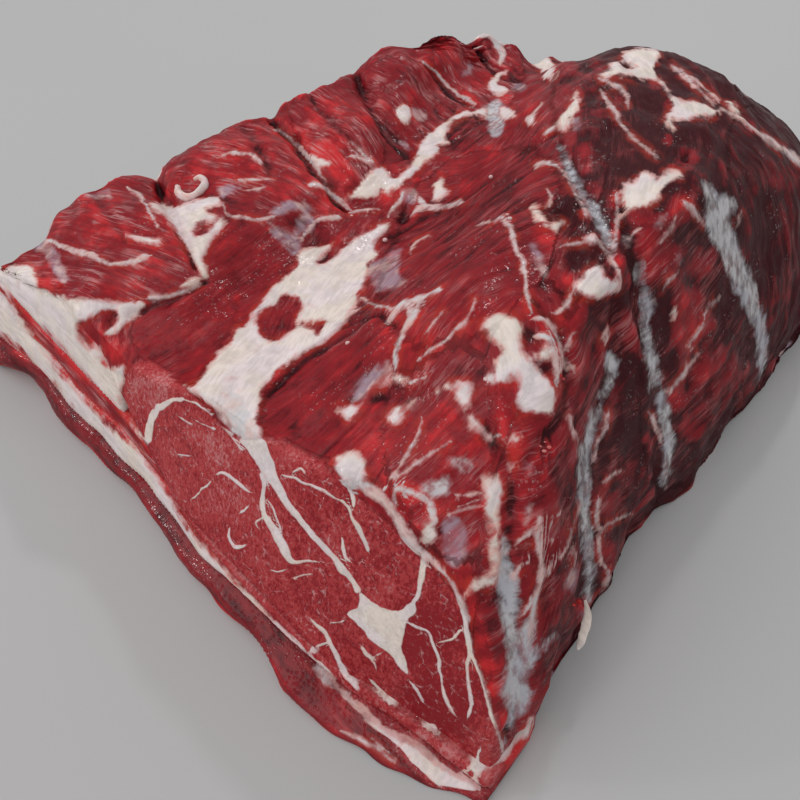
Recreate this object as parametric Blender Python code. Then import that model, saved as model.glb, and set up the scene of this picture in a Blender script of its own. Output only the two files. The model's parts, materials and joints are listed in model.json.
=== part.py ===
"""Beef chuck roll: a boneless block of muscles, knife-cut at one end, lying on its flat underside.

Metres, +Z up. The roll runs along Y and its knife-cut end looks towards -Y. The rib side, scalloped
where the rib bones were lifted out, is at -X. The tall side under the silverskin is at +X. The origin
is on the underside, at the middle of the box that holds the roll.

The roll is one block of upright columns. A column starts at a place on the underside, leans a little
with the side it is near, and crosses every layer on its way up. The layers that show at the cut are
solids between two heights on the same columns, so they lie on each other all through the roll.
"""

import math

import bmesh
import bpy
import numpy as np

# Driving dimensions, before the block is centred: X across the cut, Y from the cut into the roll
FAR_END = 0.362
CUT_LEAN = 0.27
FAR_LEAN = -0.32
CUT_LEAN_REACH = 0.45
FAR_LEAN_FROM = 0.60
LEFT_LEAN = 0.50
LEFT_LEAN_REACH = 0.30
RIGHT_LEAN = -0.37
RIGHT_LEAN_FROM = 0.62
SIDE_BELLY = 0.005
SIDE_HEIGHT = 0.110
CUT_BELLY = 0.012
CUT_BELLY_X = 0.045
CUT_BELLY_REACH = 0.070
CUT_BELLY_DEPTH = 0.3
GAP = 0.0003
MUSCLE_GAP = 0.0007

# Plan of the underside: places of the two sides at a distance from the cut, and the far end's round corners
LEFT_SIDE = (
    (0.0, -0.160),
    (0.077, -0.166),
    (0.130, -0.156),
    (0.164, -0.151),
    (0.210, -0.145),
    (0.260, -0.149),
    (0.300, -0.138),
    (0.330, -0.120),
    (0.362, -0.092),
)
RIGHT_SIDE = (
    (0.0, 0.150),
    (0.024, 0.1535),
    (0.080, 0.1455),
    (0.150, 0.147),
    (0.240, 0.150),
    (0.290, 0.147),
    (0.330, 0.137),
    (0.362, 0.120),
)
FAR_CORNER_DRAW_IN = 0.050
FAR_CORNER_FROM = 0.55
FAR_CORNER_POWER = 3.0

# Upper surface
RIB_EDGE_X = -0.106
RIB_EDGE_FALL = 9.0
CHANNEL_FLOOR = 0.071
CHANNEL_HALF_WIDTH = 0.011
RIB_RISE = 0.030
DOME_RISE = 0.074
SHOULDER_X = 0.090
SHOULDER_DRIFT = 0.220
SHOULDER_DRIFT_FROM = 0.17
SHOULDER_END_X = 0.165
LEAST_SHOULDER = 0.05
RIM_REACH = 0.042
RIDGE_SLANT = 0.41
RIDGE_SLANT_X = -0.125
SLANT_FROM = 0.25
SLANT_TO = 0.72
SLANT_FADE = (0.25, 0.75)
VALLEY_DEPTH = 0.0125
VALLEY_HALF_WIDTH = 0.0095
VALLEY_SHARE_INLAND = 0.25
VALLEY_FADE = 0.025
VALLEYS = (0.101, 0.174, 0.226, 0.276, 0.314)
UNEVENNESS = 0.0016
WAVES_ACROSS = 62.0
WAVES_ALONG = 50.0
WAVE_BEND = 2.5
BEND_WAVES = 26.0

# Heights along the roll (distance from the cut, height or place)
CROWN = (
    (0.0, 0.090),
    (0.045, 0.110),
    (0.09, 0.121),
    (0.15, 0.127),
    (0.20, 0.126),
    (0.26, 0.1195),
    (0.30, 0.110),
    (0.33, 0.100),
)
RIB_TOP = ((0.0, 0.083), (0.20, 0.084), (0.32, 0.100))
CHANNEL_X = ((0.0, 0.016), (0.036, 0.0), (0.08, -0.014), (0.134, -0.015), (0.177, -0.027), (0.29, -0.062))
FAR_ROUNDING_FROM = 0.225
FAR_ROUNDING_TO = 0.395

# Heights at the knife cut (place across the cut, height)
RIM = (
    (-0.150, 0.062),
    (-0.126, 0.066),
    (-0.095, 0.072),
    (-0.070, 0.0770),
    (-0.055, 0.0715),
    (-0.036, 0.0670),
    (-0.012, 0.072),
    (0.006, 0.0815),
    (0.056, 0.083),
    (0.078, 0.089),
    (0.101, 0.084),
    (0.119, 0.078),
    (0.140, 0.052),
    (0.160, 0.020),
)
UNDER_TOP = (
    (-0.160, 0.021),
    (-0.130, 0.0215),
    (-0.100, 0.0160),
    (-0.060, 0.0140),
    (-0.024, 0.0105),
    (0.043, 0.0125),
    (0.070, 0.0095),
    (0.095, 0.0060),
    (0.150, 0.0040),
)
FAT_TOP = (
    (-0.160, 0.0500),
    (-0.130, 0.0530),
    (-0.113, 0.0385),
    (-0.094, 0.0375),
    (-0.076, 0.0300),
    (-0.043, 0.0322),
    (-0.0266, 0.0265),
    (0.0, 0.0222),
    (0.034, 0.0205),
    (0.073, 0.0142),
    (0.100, 0.0105),
    (0.150, 0.0100),
)
STREAK_TOP = (
    (-0.160, 0.0565),
    (-0.128, 0.0600),
    (-0.105, 0.0506),
    (-0.068, 0.0440),
    (-0.037, 0.0417),
    (-0.008, 0.0245),
)
WEDGE_TOP = (
    (-0.160, 0.0590),
    (-0.128, 0.0625),
    (-0.101, 0.0680),
    (-0.075, 0.0720),
    (-0.0475, 0.0585),
    (-0.036, 0.0440),
)
FLAP_REACH = (
    (-0.160, 0.002),
    (-0.020, 0.002),
    (0.050, 0.003),
    (0.083, 0.0108),
    (0.105, 0.0095),
    (0.125, 0.0078),
    (0.140, 0.003),
    (0.150, 0.002),
)
FLAP_EDGE_SHARE = 0.62
STREAK_ENDS_X = -0.010
WEDGE_ENDS_X = -0.038
LAYER_SWELL = 0.08
SWELL_TURNS = 3.0
LAYER_SINK = 0.16
LAYER_SINK_BY = 0.20
LAYER_END_SINK = 0.30
LAYER_END_FROM = 0.70
LEAN_STEPS = 24
LEAST_MUSCLE = 0.0016

# Grid of columns
ACROSS = 34
FRONT_ROWS = 5
BACK_ROWS = 4
LAYER_STEP = 3
UP = 5
BISECTIONS = 40
HIGHEST = 0.16
FOOT_SHARE = 0.25
SHARP_DEGREES = 50.0

# Base colour and roughness of each layer
LAYER_FINISHES = {
    "under_muscle": ((0.20, 0.025, 0.030), 0.35),
    "fat_layer": ((0.70, 0.60, 0.52), 0.45),
    "streak_muscle": ((0.30, 0.050, 0.050), 0.40),
    "upper_fat": ((0.72, 0.63, 0.55), 0.45),
    "main_muscles": ((0.27, 0.030, 0.032), 0.35),
}


def ease(start, end, value):
    """0 before start and 1 after end, with a smooth step between them."""
    share = np.clip((value - start) / (end - start), 0.0, 1.0)
    return share * share * (3.0 - 2.0 * share)


def through(points, value):
    """The smooth curve through a few (place, height) points that never overshoots them."""
    places, heights = (np.array(column) for column in zip(*points))
    steps = np.diff(places)
    slopes = np.diff(heights) / steps
    turns = np.zeros(len(places))
    turns[0] = slopes[0]
    turns[-1] = slopes[-1]
    same_way = slopes[:-1] * slopes[1:] > 0.0
    safe_sum = np.where(same_way, slopes[:-1] + slopes[1:], 1.0)
    turns[1:-1] = np.where(same_way, 2.0 * slopes[:-1] * slopes[1:] / safe_sum, 0.0)
    value = np.clip(value, places[0], places[-1])
    cell = np.clip(np.searchsorted(places, value) - 1, 0, len(steps) - 1)
    share = (value - places[cell]) / steps[cell]
    square = share * share
    cube = square * share
    return (
        (2.0 * cube - 3.0 * square + 1.0) * heights[cell]
        + (cube - 2.0 * square + share) * steps[cell] * turns[cell]
        + (3.0 * square - 2.0 * cube) * heights[cell + 1]
        + (cube - square) * steps[cell] * turns[cell + 1]
    )


def footprint(across, along):
    """The place on the underside where a column starts, from its shares across and along the roll."""
    off_middle = np.abs(2.0 * across - 1.0) ** FAR_CORNER_POWER
    y = along * FAR_END - FAR_CORNER_DRAW_IN * off_middle * ease(FAR_CORNER_FROM, 1.0, along)
    left = through(LEFT_SIDE, y)
    right = through(RIGHT_SIDE, y)
    x = left + across * (right - left)
    mid_length = ease(0.0, SLANT_FROM, along) * (1.0 - ease(SLANT_TO, 1.0, along))
    slant = RIDGE_SLANT * (1.0 - ease(*SLANT_FADE, across)) * mid_length
    return x, y - slant * (x - left)


def column_point(across, along, height):
    """Where the column is at a height: it leans with the side that it is near."""
    x, y = footprint(across, along)
    at_right = ease(RIGHT_LEAN_FROM, 1.0, across)
    x_lean = LEFT_LEAN * (1.0 - ease(0.0, LEFT_LEAN_REACH, across)) + RIGHT_LEAN * at_right
    y_lean = CUT_LEAN * (1.0 - ease(0.0, CUT_LEAN_REACH, along)) + FAR_LEAN * ease(FAR_LEAN_FROM, 1.0, along)
    share = np.clip(height / SIDE_HEIGHT, 0.0, 1.0)
    belly = SIDE_BELLY * np.sin(math.pi * share) * at_right
    swell = CUT_BELLY * np.exp(-(((x - CUT_BELLY_X) / CUT_BELLY_REACH) ** 2)) * (1.0 - share)
    swell = swell * (1.0 - ease(0.0, CUT_BELLY_DEPTH, along))
    return x + x_lean * height + belly, y + y_lean * height - swell


def valley_depth(x, y):
    """How deep the furrows between the rib ridges are: deepest at the rib edge, gone at the channel."""
    slanted = y + RIDGE_SLANT * (x - RIDGE_SLANT_X)
    depth = sum(np.exp(-(((slanted - furrow) / VALLEY_HALF_WIDTH) ** 2)) for furrow in VALLEYS)
    channel = through(CHANNEL_X, y)
    inland = channel - VALLEY_FADE
    share = VALLEY_SHARE_INLAND + (1.0 - VALLEY_SHARE_INLAND) * ease(inland, RIDGE_SLANT_X, x)
    return VALLEY_DEPTH * depth * share * ease(channel, inland, x)


def surface_height(x, y):
    """Height of the upper surface over a place: rib ridges, fat channel, dome and the rim of the cut."""
    channel = through(CHANNEL_X, y)
    left_bank = channel - CHANNEL_HALF_WIDTH
    right_bank = channel + CHANNEL_HALF_WIDTH
    ribs = (through(RIB_TOP, y) - CHANNEL_FLOOR) * ease(left_bank, left_bank - RIB_RISE, x)
    edge = RIB_EDGE_FALL * np.clip(RIB_EDGE_X - x, 0.0, None) ** 2
    dome = (through(CROWN, y) - CHANNEL_FLOOR) * ease(right_bank, right_bank + DOME_RISE, x)
    shoulder_x = SHOULDER_X - SHOULDER_DRIFT * np.clip(y - SHOULDER_DRIFT_FROM, 0.0, None)
    past_shoulder = np.clip(x - shoulder_x, 0.0, None) / (SHOULDER_END_X - shoulder_x)
    shoulder = np.clip(1.0 - past_shoulder**2, LEAST_SHOULDER, 1.0)
    bent_x = WAVES_ACROSS * x + WAVE_BEND * np.sin(BEND_WAVES * y)
    bent_y = WAVES_ALONG * y + WAVE_BEND * np.sin(BEND_WAVES * x)
    waves = np.sin(bent_x) * np.cos(bent_y)
    inland = (CHANNEL_FLOOR + ribs - edge + dome) * shoulder - valley_depth(x, y) + UNEVENNESS * waves
    end = np.clip((y - FAR_ROUNDING_FROM) / (FAR_ROUNDING_TO - FAR_ROUNDING_FROM), 0.0, 1.0)
    inland = inland * np.sqrt(np.clip(1.0 - end * end, 0.0, 1.0))
    rim = through(RIM, x)
    return rim + (inland - rim) * ease(0.0, RIM_REACH, y - CUT_LEAN * rim)


def layer_height(points, across, along):
    """Height of a layer's upper side on a column: as at the cut, swelling a little and ending low."""
    at_cut = np.zeros_like(along)
    height = at_cut
    for _ in range(LEAN_STEPS):
        height = through(points, column_point(across, at_cut, height)[0])
    turn = SWELL_TURNS * math.pi * (across + 0.5 * along)
    swell = 1.0 + LAYER_SWELL * np.sin(math.pi * along) * np.cos(turn)
    sink = LAYER_SINK * ease(0.0, LAYER_SINK_BY, along)
    end_sink = LAYER_END_SINK * ease(LAYER_END_FROM, 1.0, along)
    return height * swell * (1.0 - sink - end_sink)


def top_height(across, along, floor):
    """Height where each column meets the upper surface, found by halving, and never under the layers."""
    low = np.zeros_like(across)
    high = np.full_like(across, HIGHEST)
    for _ in range(BISECTIONS):
        middle = (low + high) / 2.0
        x, y = column_point(across, along, middle)
        under = surface_height(x, y) > middle
        low = np.where(under, middle, low)
        high = np.where(under, high, middle)
    return np.maximum(low, floor + LEAST_MUSCLE)


def stations():
    """Shares along the roll of the rows of columns: on each furrow, on its flanks and on each ridge."""
    flanks = [furrow + side * VALLEY_HALF_WIDTH for furrow in VALLEYS for side in (-1.0, 0.0, 1.0)]
    crests = [(before + after) / 2.0 for before, after in zip(VALLEYS, VALLEYS[1:])]
    front = np.linspace(0.0, flanks[0], FRONT_ROWS + 1)[:-1]
    back = np.linspace(flanks[-1], FAR_END, BACK_ROWS + 1)[1:]
    return np.array(sorted([*front, *flanks, *crests, *back])) / FAR_END


def grid(step=1):
    """Shares across and along of the grid of columns, with every row or every few."""
    return np.meshgrid(np.linspace(0.0, 1.0, ACROSS + 1), stations()[::step], indexing="ij")


def ruled(values):
    """Layer rows made finer by straight lines, so that the muscle lies flat on the layers' facets."""
    shares = stations()
    return np.array([np.interp(shares, shares[::LAYER_STEP], row) for row in values])


def block_mesh(name, levels):
    """One closed block from its levels, low to high, each an array of points columns x rows x 3."""
    columns, rows = levels[0].shape[:2]
    mesh = bpy.data.meshes.new(name)
    form = bmesh.new()
    corners = {}
    for up, level in enumerate(levels):
        for i in range(columns):
            for j in range(rows):
                inside = 0 < i < columns - 1 and 0 < j < rows - 1
                if inside and 0 < up < len(levels) - 1:
                    continue
                corners[up, i, j] = form.verts.new(level[i, j])
    last = len(levels) - 1
    for i in range(columns - 1):
        for j in range(rows - 1):
            square = ((i, j), (i + 1, j), (i + 1, j + 1), (i, j + 1))
            form.faces.new([corners[last, a, b] for a, b in square])
            form.faces.new([corners[0, a, b] for a, b in square[:1] + square[:0:-1]])
    ring = [(i, 0) for i in range(columns - 1)]
    ring += [(columns - 1, j) for j in range(rows - 1)]
    ring += [(i, rows - 1) for i in range(columns - 1, 0, -1)]
    ring += [(0, j) for j in range(rows - 1, 0, -1)]
    for up in range(last):
        for here, there in zip(ring, ring[1:] + ring[:1]):
            form.faces.new(
                (
                    corners[up, here[0], here[1]],
                    corners[up, there[0], there[1]],
                    corners[up + 1, there[0], there[1]],
                    corners[up + 1, here[0], here[1]],
                )
            )
    bmesh.ops.triangulate(form, faces=form.faces[:], quad_method="FIXED")
    bmesh.ops.recalc_face_normals(form, faces=form.faces[:])
    form.to_mesh(mesh)
    form.free()
    mesh.shade_smooth()
    mesh.set_sharp_from_angle(angle=math.radians(SHARP_DEGREES))
    return mesh


def points_at(across, along, height):
    x, y = column_point(across, along, height)
    return np.stack([x, y, height], axis=-1)


def column_before(x, heights):
    """The last column that passes the cut at or before a place across it, at its layer's height there."""
    across, along = grid(LAYER_STEP)
    places = column_point(across[:, 0], along[:, 0], heights[:, 0])[0]
    return int(np.searchsorted(places, x)) - 1


def layer_levels():
    """Points of every layer, low to high, with the height of the top layer on every column."""
    across, along = grid(LAYER_STEP)
    ground = np.zeros_like(across)
    under_top = layer_height(UNDER_TOP, across, along)
    fat_top = layer_height(FAT_TOP, across, along)
    streak_top = np.maximum(layer_height(STREAK_TOP, across, along), fat_top + 2.0 * GAP)
    wedge_top = np.maximum(layer_height(WEDGE_TOP, across, along), streak_top + 2.0 * GAP)
    streak_end = column_before(STREAK_ENDS_X, streak_top)
    wedge_end = column_before(WEDGE_ENDS_X, wedge_top)
    cover = fat_top.copy()
    cover[: streak_end + 1] = streak_top[: streak_end + 1]
    cover[: wedge_end + 1] = wedge_top[: wedge_end + 1]
    levels = {
        "under_muscle": [ground, under_top],
        "fat_layer": [under_top + GAP, fat_top],
        "streak_muscle": [fat_top[: streak_end + 1] + GAP, streak_top[: streak_end + 1]],
        "upper_fat": [streak_top[: wedge_end + 1] + GAP, wedge_top[: wedge_end + 1]],
    }
    points = {}
    for name, heights in levels.items():
        count = len(heights[0])
        points[name] = [points_at(across[:count], along[:count], height) for height in heights]
    return points, cover


def with_flap(levels):
    """The under muscle with one more row, which carries its thin flap out in front of the cut."""
    ground, top = levels
    reach = through(FLAP_REACH, ground[:, 0, 0])
    edge_low = ground[:, :1].copy()
    edge_high = ground[:, :1].copy()
    edge_low[:, 0, 1] -= reach
    edge_high[:, 0, 1] -= reach
    edge_high[:, 0, 2] = top[:, 0, 2] * FLAP_EDGE_SHARE
    return [np.concatenate([edge_low, ground], axis=1), np.concatenate([edge_high, top], axis=1)]


def muscle_levels(cover):
    """Points of the great block of muscle, from the layers up to the upper surface."""
    across, along = grid()
    layer_across, layer_along = grid(LAYER_STEP)
    base = points_at(layer_across, layer_along, cover + MUSCLE_GAP)
    base = np.stack([ruled(base[..., axis]) for axis in range(3)], axis=-1)
    top = top_height(across, along, base[..., 2])
    levels = [base]
    for up in range(1, UP):
        share = up / UP
        height = base[..., 2] + (top - base[..., 2]) * share
        level = points_at(across, along, height)
        own = ease(0.0, FOOT_SHARE, share)
        levels.append(level * own + base * (1.0 - own))
    levels.append(points_at(across, along, top))
    return levels


def material(name, colour, roughness):
    made = bpy.data.materials.new(name)
    made.use_nodes = True
    shader = made.node_tree.nodes["Principled BSDF"]
    shader.inputs["Base Color"].default_value = (*colour, 1.0)
    shader.inputs["Roughness"].default_value = roughness
    made.diffuse_color = (*colour, 1.0)
    return made


def clear_scene():
    for thing in list(bpy.data.objects):
        bpy.data.objects.remove(thing, do_unlink=True)


def main():
    clear_scene()
    levels, cover = layer_levels()
    levels["under_muscle"] = with_flap(levels["under_muscle"])
    levels["main_muscles"] = muscle_levels(cover)
    every = np.concatenate([level.reshape(-1, 3) for block in levels.values() for level in block])
    middle = (every.min(axis=0) + every.max(axis=0)) / 2.0
    middle[2] = 0.0
    for name, block in levels.items():
        mesh = block_mesh(name, [level - middle for level in block])
        colour, roughness = LAYER_FINISHES[name]
        mesh.materials.append(material(name, colour, roughness))
        bpy.context.scene.collection.objects.link(bpy.data.objects.new(name, mesh))


main()
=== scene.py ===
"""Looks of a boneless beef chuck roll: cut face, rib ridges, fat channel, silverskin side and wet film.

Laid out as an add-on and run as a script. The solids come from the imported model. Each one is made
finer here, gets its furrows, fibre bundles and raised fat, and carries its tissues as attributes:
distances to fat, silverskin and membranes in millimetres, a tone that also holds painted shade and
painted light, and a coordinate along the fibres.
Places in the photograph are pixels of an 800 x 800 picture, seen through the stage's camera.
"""

import itertools
import json
import math

import bmesh
import bpy
import numpy as np
from mathutils import Euler, Matrix, Vector
from mathutils.bvhtree import BVHTree

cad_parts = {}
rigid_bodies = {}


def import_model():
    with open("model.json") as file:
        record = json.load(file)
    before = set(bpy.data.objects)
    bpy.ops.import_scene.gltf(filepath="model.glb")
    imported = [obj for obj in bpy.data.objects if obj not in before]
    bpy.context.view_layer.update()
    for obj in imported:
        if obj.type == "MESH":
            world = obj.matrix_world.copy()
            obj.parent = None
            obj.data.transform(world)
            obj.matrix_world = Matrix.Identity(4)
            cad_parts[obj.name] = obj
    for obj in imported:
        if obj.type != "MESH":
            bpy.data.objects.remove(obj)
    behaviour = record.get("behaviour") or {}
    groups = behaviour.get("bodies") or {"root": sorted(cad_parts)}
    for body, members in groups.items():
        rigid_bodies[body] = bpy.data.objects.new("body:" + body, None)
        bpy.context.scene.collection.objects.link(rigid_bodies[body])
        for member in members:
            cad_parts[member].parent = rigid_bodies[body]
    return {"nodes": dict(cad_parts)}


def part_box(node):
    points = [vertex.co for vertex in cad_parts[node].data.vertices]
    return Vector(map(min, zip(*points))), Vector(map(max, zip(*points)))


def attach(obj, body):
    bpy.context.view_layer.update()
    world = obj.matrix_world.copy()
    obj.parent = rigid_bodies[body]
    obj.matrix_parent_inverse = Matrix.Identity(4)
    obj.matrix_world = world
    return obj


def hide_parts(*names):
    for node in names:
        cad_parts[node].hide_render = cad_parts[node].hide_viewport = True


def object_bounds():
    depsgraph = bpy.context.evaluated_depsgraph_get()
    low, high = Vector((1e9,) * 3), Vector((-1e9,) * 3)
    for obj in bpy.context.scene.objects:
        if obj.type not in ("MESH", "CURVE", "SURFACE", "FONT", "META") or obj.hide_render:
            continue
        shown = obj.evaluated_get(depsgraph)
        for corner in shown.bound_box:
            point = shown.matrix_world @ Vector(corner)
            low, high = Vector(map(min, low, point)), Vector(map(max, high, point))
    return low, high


bl_info = {
    "name": "Beef Chuck Roll",
    "version": (1, 0, 0),
    "blender": (4, 5, 0),
    "location": "View3D > Sidebar > Chuck Roll",
    "description": "Gives a chuck roll its muscles, marbling, fat, silverskin and wet film",
    "category": "Object",
}

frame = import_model()
CAD_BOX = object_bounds()

MM = 0.001
PICTURE = 800.0
FAR_PX = 40.0
FAR_MM = 12.0

# Large odd numbers that scatter a lattice corner and a seed into a repeatable number
LATTICE_STEPS = (73856093, 19349663, 83492791)
SEED_STEP = 2654435761
MIXER = 1274126177


def route(width, *points):
    """A line in the picture with a width in pixels, which thins towards both ends."""
    taper = np.ones(len(points))
    taper[[0, -1]] = 0.45
    return np.column_stack([np.array(points, float), width * taper])


def wide(*points):
    """A line in the picture whose width is given at each point, all in pixels."""
    return np.array(points, float)


# Fat at the cut face, in pixels
CUT_SEAMS = (
    wide((232, 410, 40), (248, 432, 24), (262, 455, 17), (271, 474, 12), (277, 487, 9), (290, 508, 7)),
    wide((290, 508, 7), (307, 528, 6), (334, 558, 5), (342, 568, 7), (352, 580, 4), (358, 590, 5)),
    wide((263, 475, 4), (266, 484, 4), (262, 496, 4), (263, 515, 5), (269, 521, 6), (275, 530, 8)),
    wide((275, 530, 8), (281, 542, 8), (287, 556, 7), (292, 562, 4), (302, 561, 2), (319, 562, 1)),
    route(2, (268, 501), (278, 518), (283, 535)),
    route(2, (263, 518), (255, 522), (258, 528)),
    wide((370, 490, 16), (380, 496, 14), (390, 506, 12), (397, 518, 12), (408, 535, 14), (419, 549, 10)),
    wide((419, 549, 10), (432, 562, 7), (434, 563, 3)),
    wide((424, 558, 6), (422, 573, 6), (420, 585, 5), (418, 596, 4), (414, 601, 4)),
    wide((433, 562, 2), (444, 573, 2), (454, 588, 2), (461, 600, 7), (466, 613, 6), (467, 630, 6)),
    wide((467, 630, 6), (470, 643, 7), (470, 653, 4), (466, 662, 2.5), (468, 682, 2.5), (472, 704, 3)),
    wide((472, 704, 3), (469, 711, 3), (468, 718, 1.5)),
    wide((471, 654, 4), (478, 668, 3), (483, 684, 3), (488, 704, 4), (495, 724, 3.5), (503, 750, 2.5)),
    wide((345, 483, 7), (352, 486, 9), (362, 484, 13), (372, 491, 15)),
)
CUT_VEINS = (
    route(3, (217, 475), (224, 472), (232, 478), (241, 486), (250, 492)),
    route(2, (211, 481), (203, 489), (192, 499)),
    route(3, (180, 417), (191, 424)),
    route(2, (197, 421), (214, 430)),
    route(3, (180, 455), (189, 455)),
    route(4, (241, 512), (247, 507)),
    route(3, (230, 528), (228, 536), (234, 547), (240, 548), (246, 546)),
    route(3, (272, 571), (284, 570)),
    route(2.5, (296, 577), (310, 575)),
    route(3, (342, 539), (342, 548), (345, 558), (350, 561)),
    route(2.5, (284, 475), (296, 478), (301, 483), (313, 484), (324, 492), (342, 501)),
    wide((342, 501, 2.5), (350, 509, 3), (351, 518, 3), (359, 528, 4), (364, 538, 4), (368, 550, 3)),
    route(4, (347, 486), (353, 496), (354, 507)),
    route(2, (293, 472), (301, 466), (305, 472)),
    route(2.5, (440, 643), (450, 640), (456, 636), (459, 631), (464, 631)),
    route(2.5, (408, 623), (419, 628), (428, 631), (433, 643), (438, 659), (441, 673), (443, 686)),
    route(3, (443, 686), (447, 702), (454, 714)),
    route(2, (361, 646), (366, 653), (373, 658), (376, 669)),
    route(1.5, (373, 658), (380, 654)),
    route(3, (371, 681), (380, 691), (391, 701)),
    route(3, (409, 681), (416, 689), (424, 702)),
    route(4, (312, 620), (320, 629), (326, 634), (331, 643), (335, 654), (341, 666), (350, 681),
     (356, 689)),
    route(3, (331, 643), (317, 646), (310, 653)),
    route(2.5, (333, 623), (343, 621)),
    route(3, (428, 725), (434, 724), (438, 731)),
    route(4, (480, 750), (477, 760), (477, 772), (474, 785)),
    route(2.5, (465, 772), (472, 769), (475, 764)),
    wide((148, 440, 8), (150, 425, 7), (153, 414, 8), (160, 406, 7), (172, 401, 4), (182, 399, 3)),
    route(2, (182, 399), (199, 404), (214, 416), (228, 432), (242, 450)),
)
CUT_PATCHES = (
    ((360, 591), (366, 598), (376, 606), (393, 611), (403, 610), (409, 603), (416, 600), (416, 610),
     (414, 615), (406, 621), (404, 633), (400, 648), (406, 663), (408, 676), (399, 668), (389, 654),
     (373, 644), (365, 634), (356, 623), (346, 616), (351, 611), (358, 609), (359, 601)),
    ((450, 781), (458, 782), (466, 781), (479, 780), (476, 792), (466, 786)),
)

# The layers at the cut: the fat wedge, the lower fat and its loose end, in pixels
WEDGE = (
    (0, 270), (24, 264), (33, 268), (38, 280), (40, 290), (55, 292), (66, 298), (80, 300), (97, 300),
    (120, 304), (147, 300), (146, 308), (135, 317), (125, 325), (118, 333), (110, 337), (104, 334),
    (112, 328), (120, 318), (118, 311), (108, 309), (98, 312), (91, 318), (83, 321), (76, 324), (78, 334),
    (83, 343), (91, 349), (97, 346), (100, 352), (104, 361), (110, 369), (119, 368), (125, 362),
    (127, 376), (120, 393), (121, 403), (136, 425), (141, 432), (150, 446), (129, 422), (116, 403),
    (95, 381), (75, 359), (53, 333), (37, 321), (20, 304), (8, 292), (-10, 280),
)
BAND_TOP = (
    (-10, 288), (0, 291), (12, 303), (24, 320), (34, 337), (51, 360), (71, 384), (94, 410), (117, 432),
    (140, 450), (160, 482), (180, 513), (195, 536), (212, 554), (230, 573), (241, 585), (260, 603),
    (275, 620), (300, 643), (310, 654), (321, 666),
)
BAND_FOOT = (
    (318, 676), (298, 656), (282, 638), (266, 621), (246, 603), (232, 588), (211, 565), (195, 550),
    (180, 533), (150, 500), (128, 474), (104, 446), (94, 432), (77, 413), (62, 389), (52, 379), (41, 370),
    (30, 358), (20, 346), (0, 331), (-10, 322),
)
BAND_END = (
    wide((316, 668, 12), (328, 682, 12), (335, 688, 6), (341, 692, 5), (358, 709, 6), (373, 724, 7)),
    wide((369, 722, 3), (380, 731, 4), (398, 740, 8), (410, 748, 15), (424, 762, 18), (441, 777, 16)),
    wide((441, 777, 16), (456, 784, 10), (476, 789, 5)),
    route(2, (212, 570), (226, 582)),
    route(3, (341, 731), (380, 749), (393, 762)),
)

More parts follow.
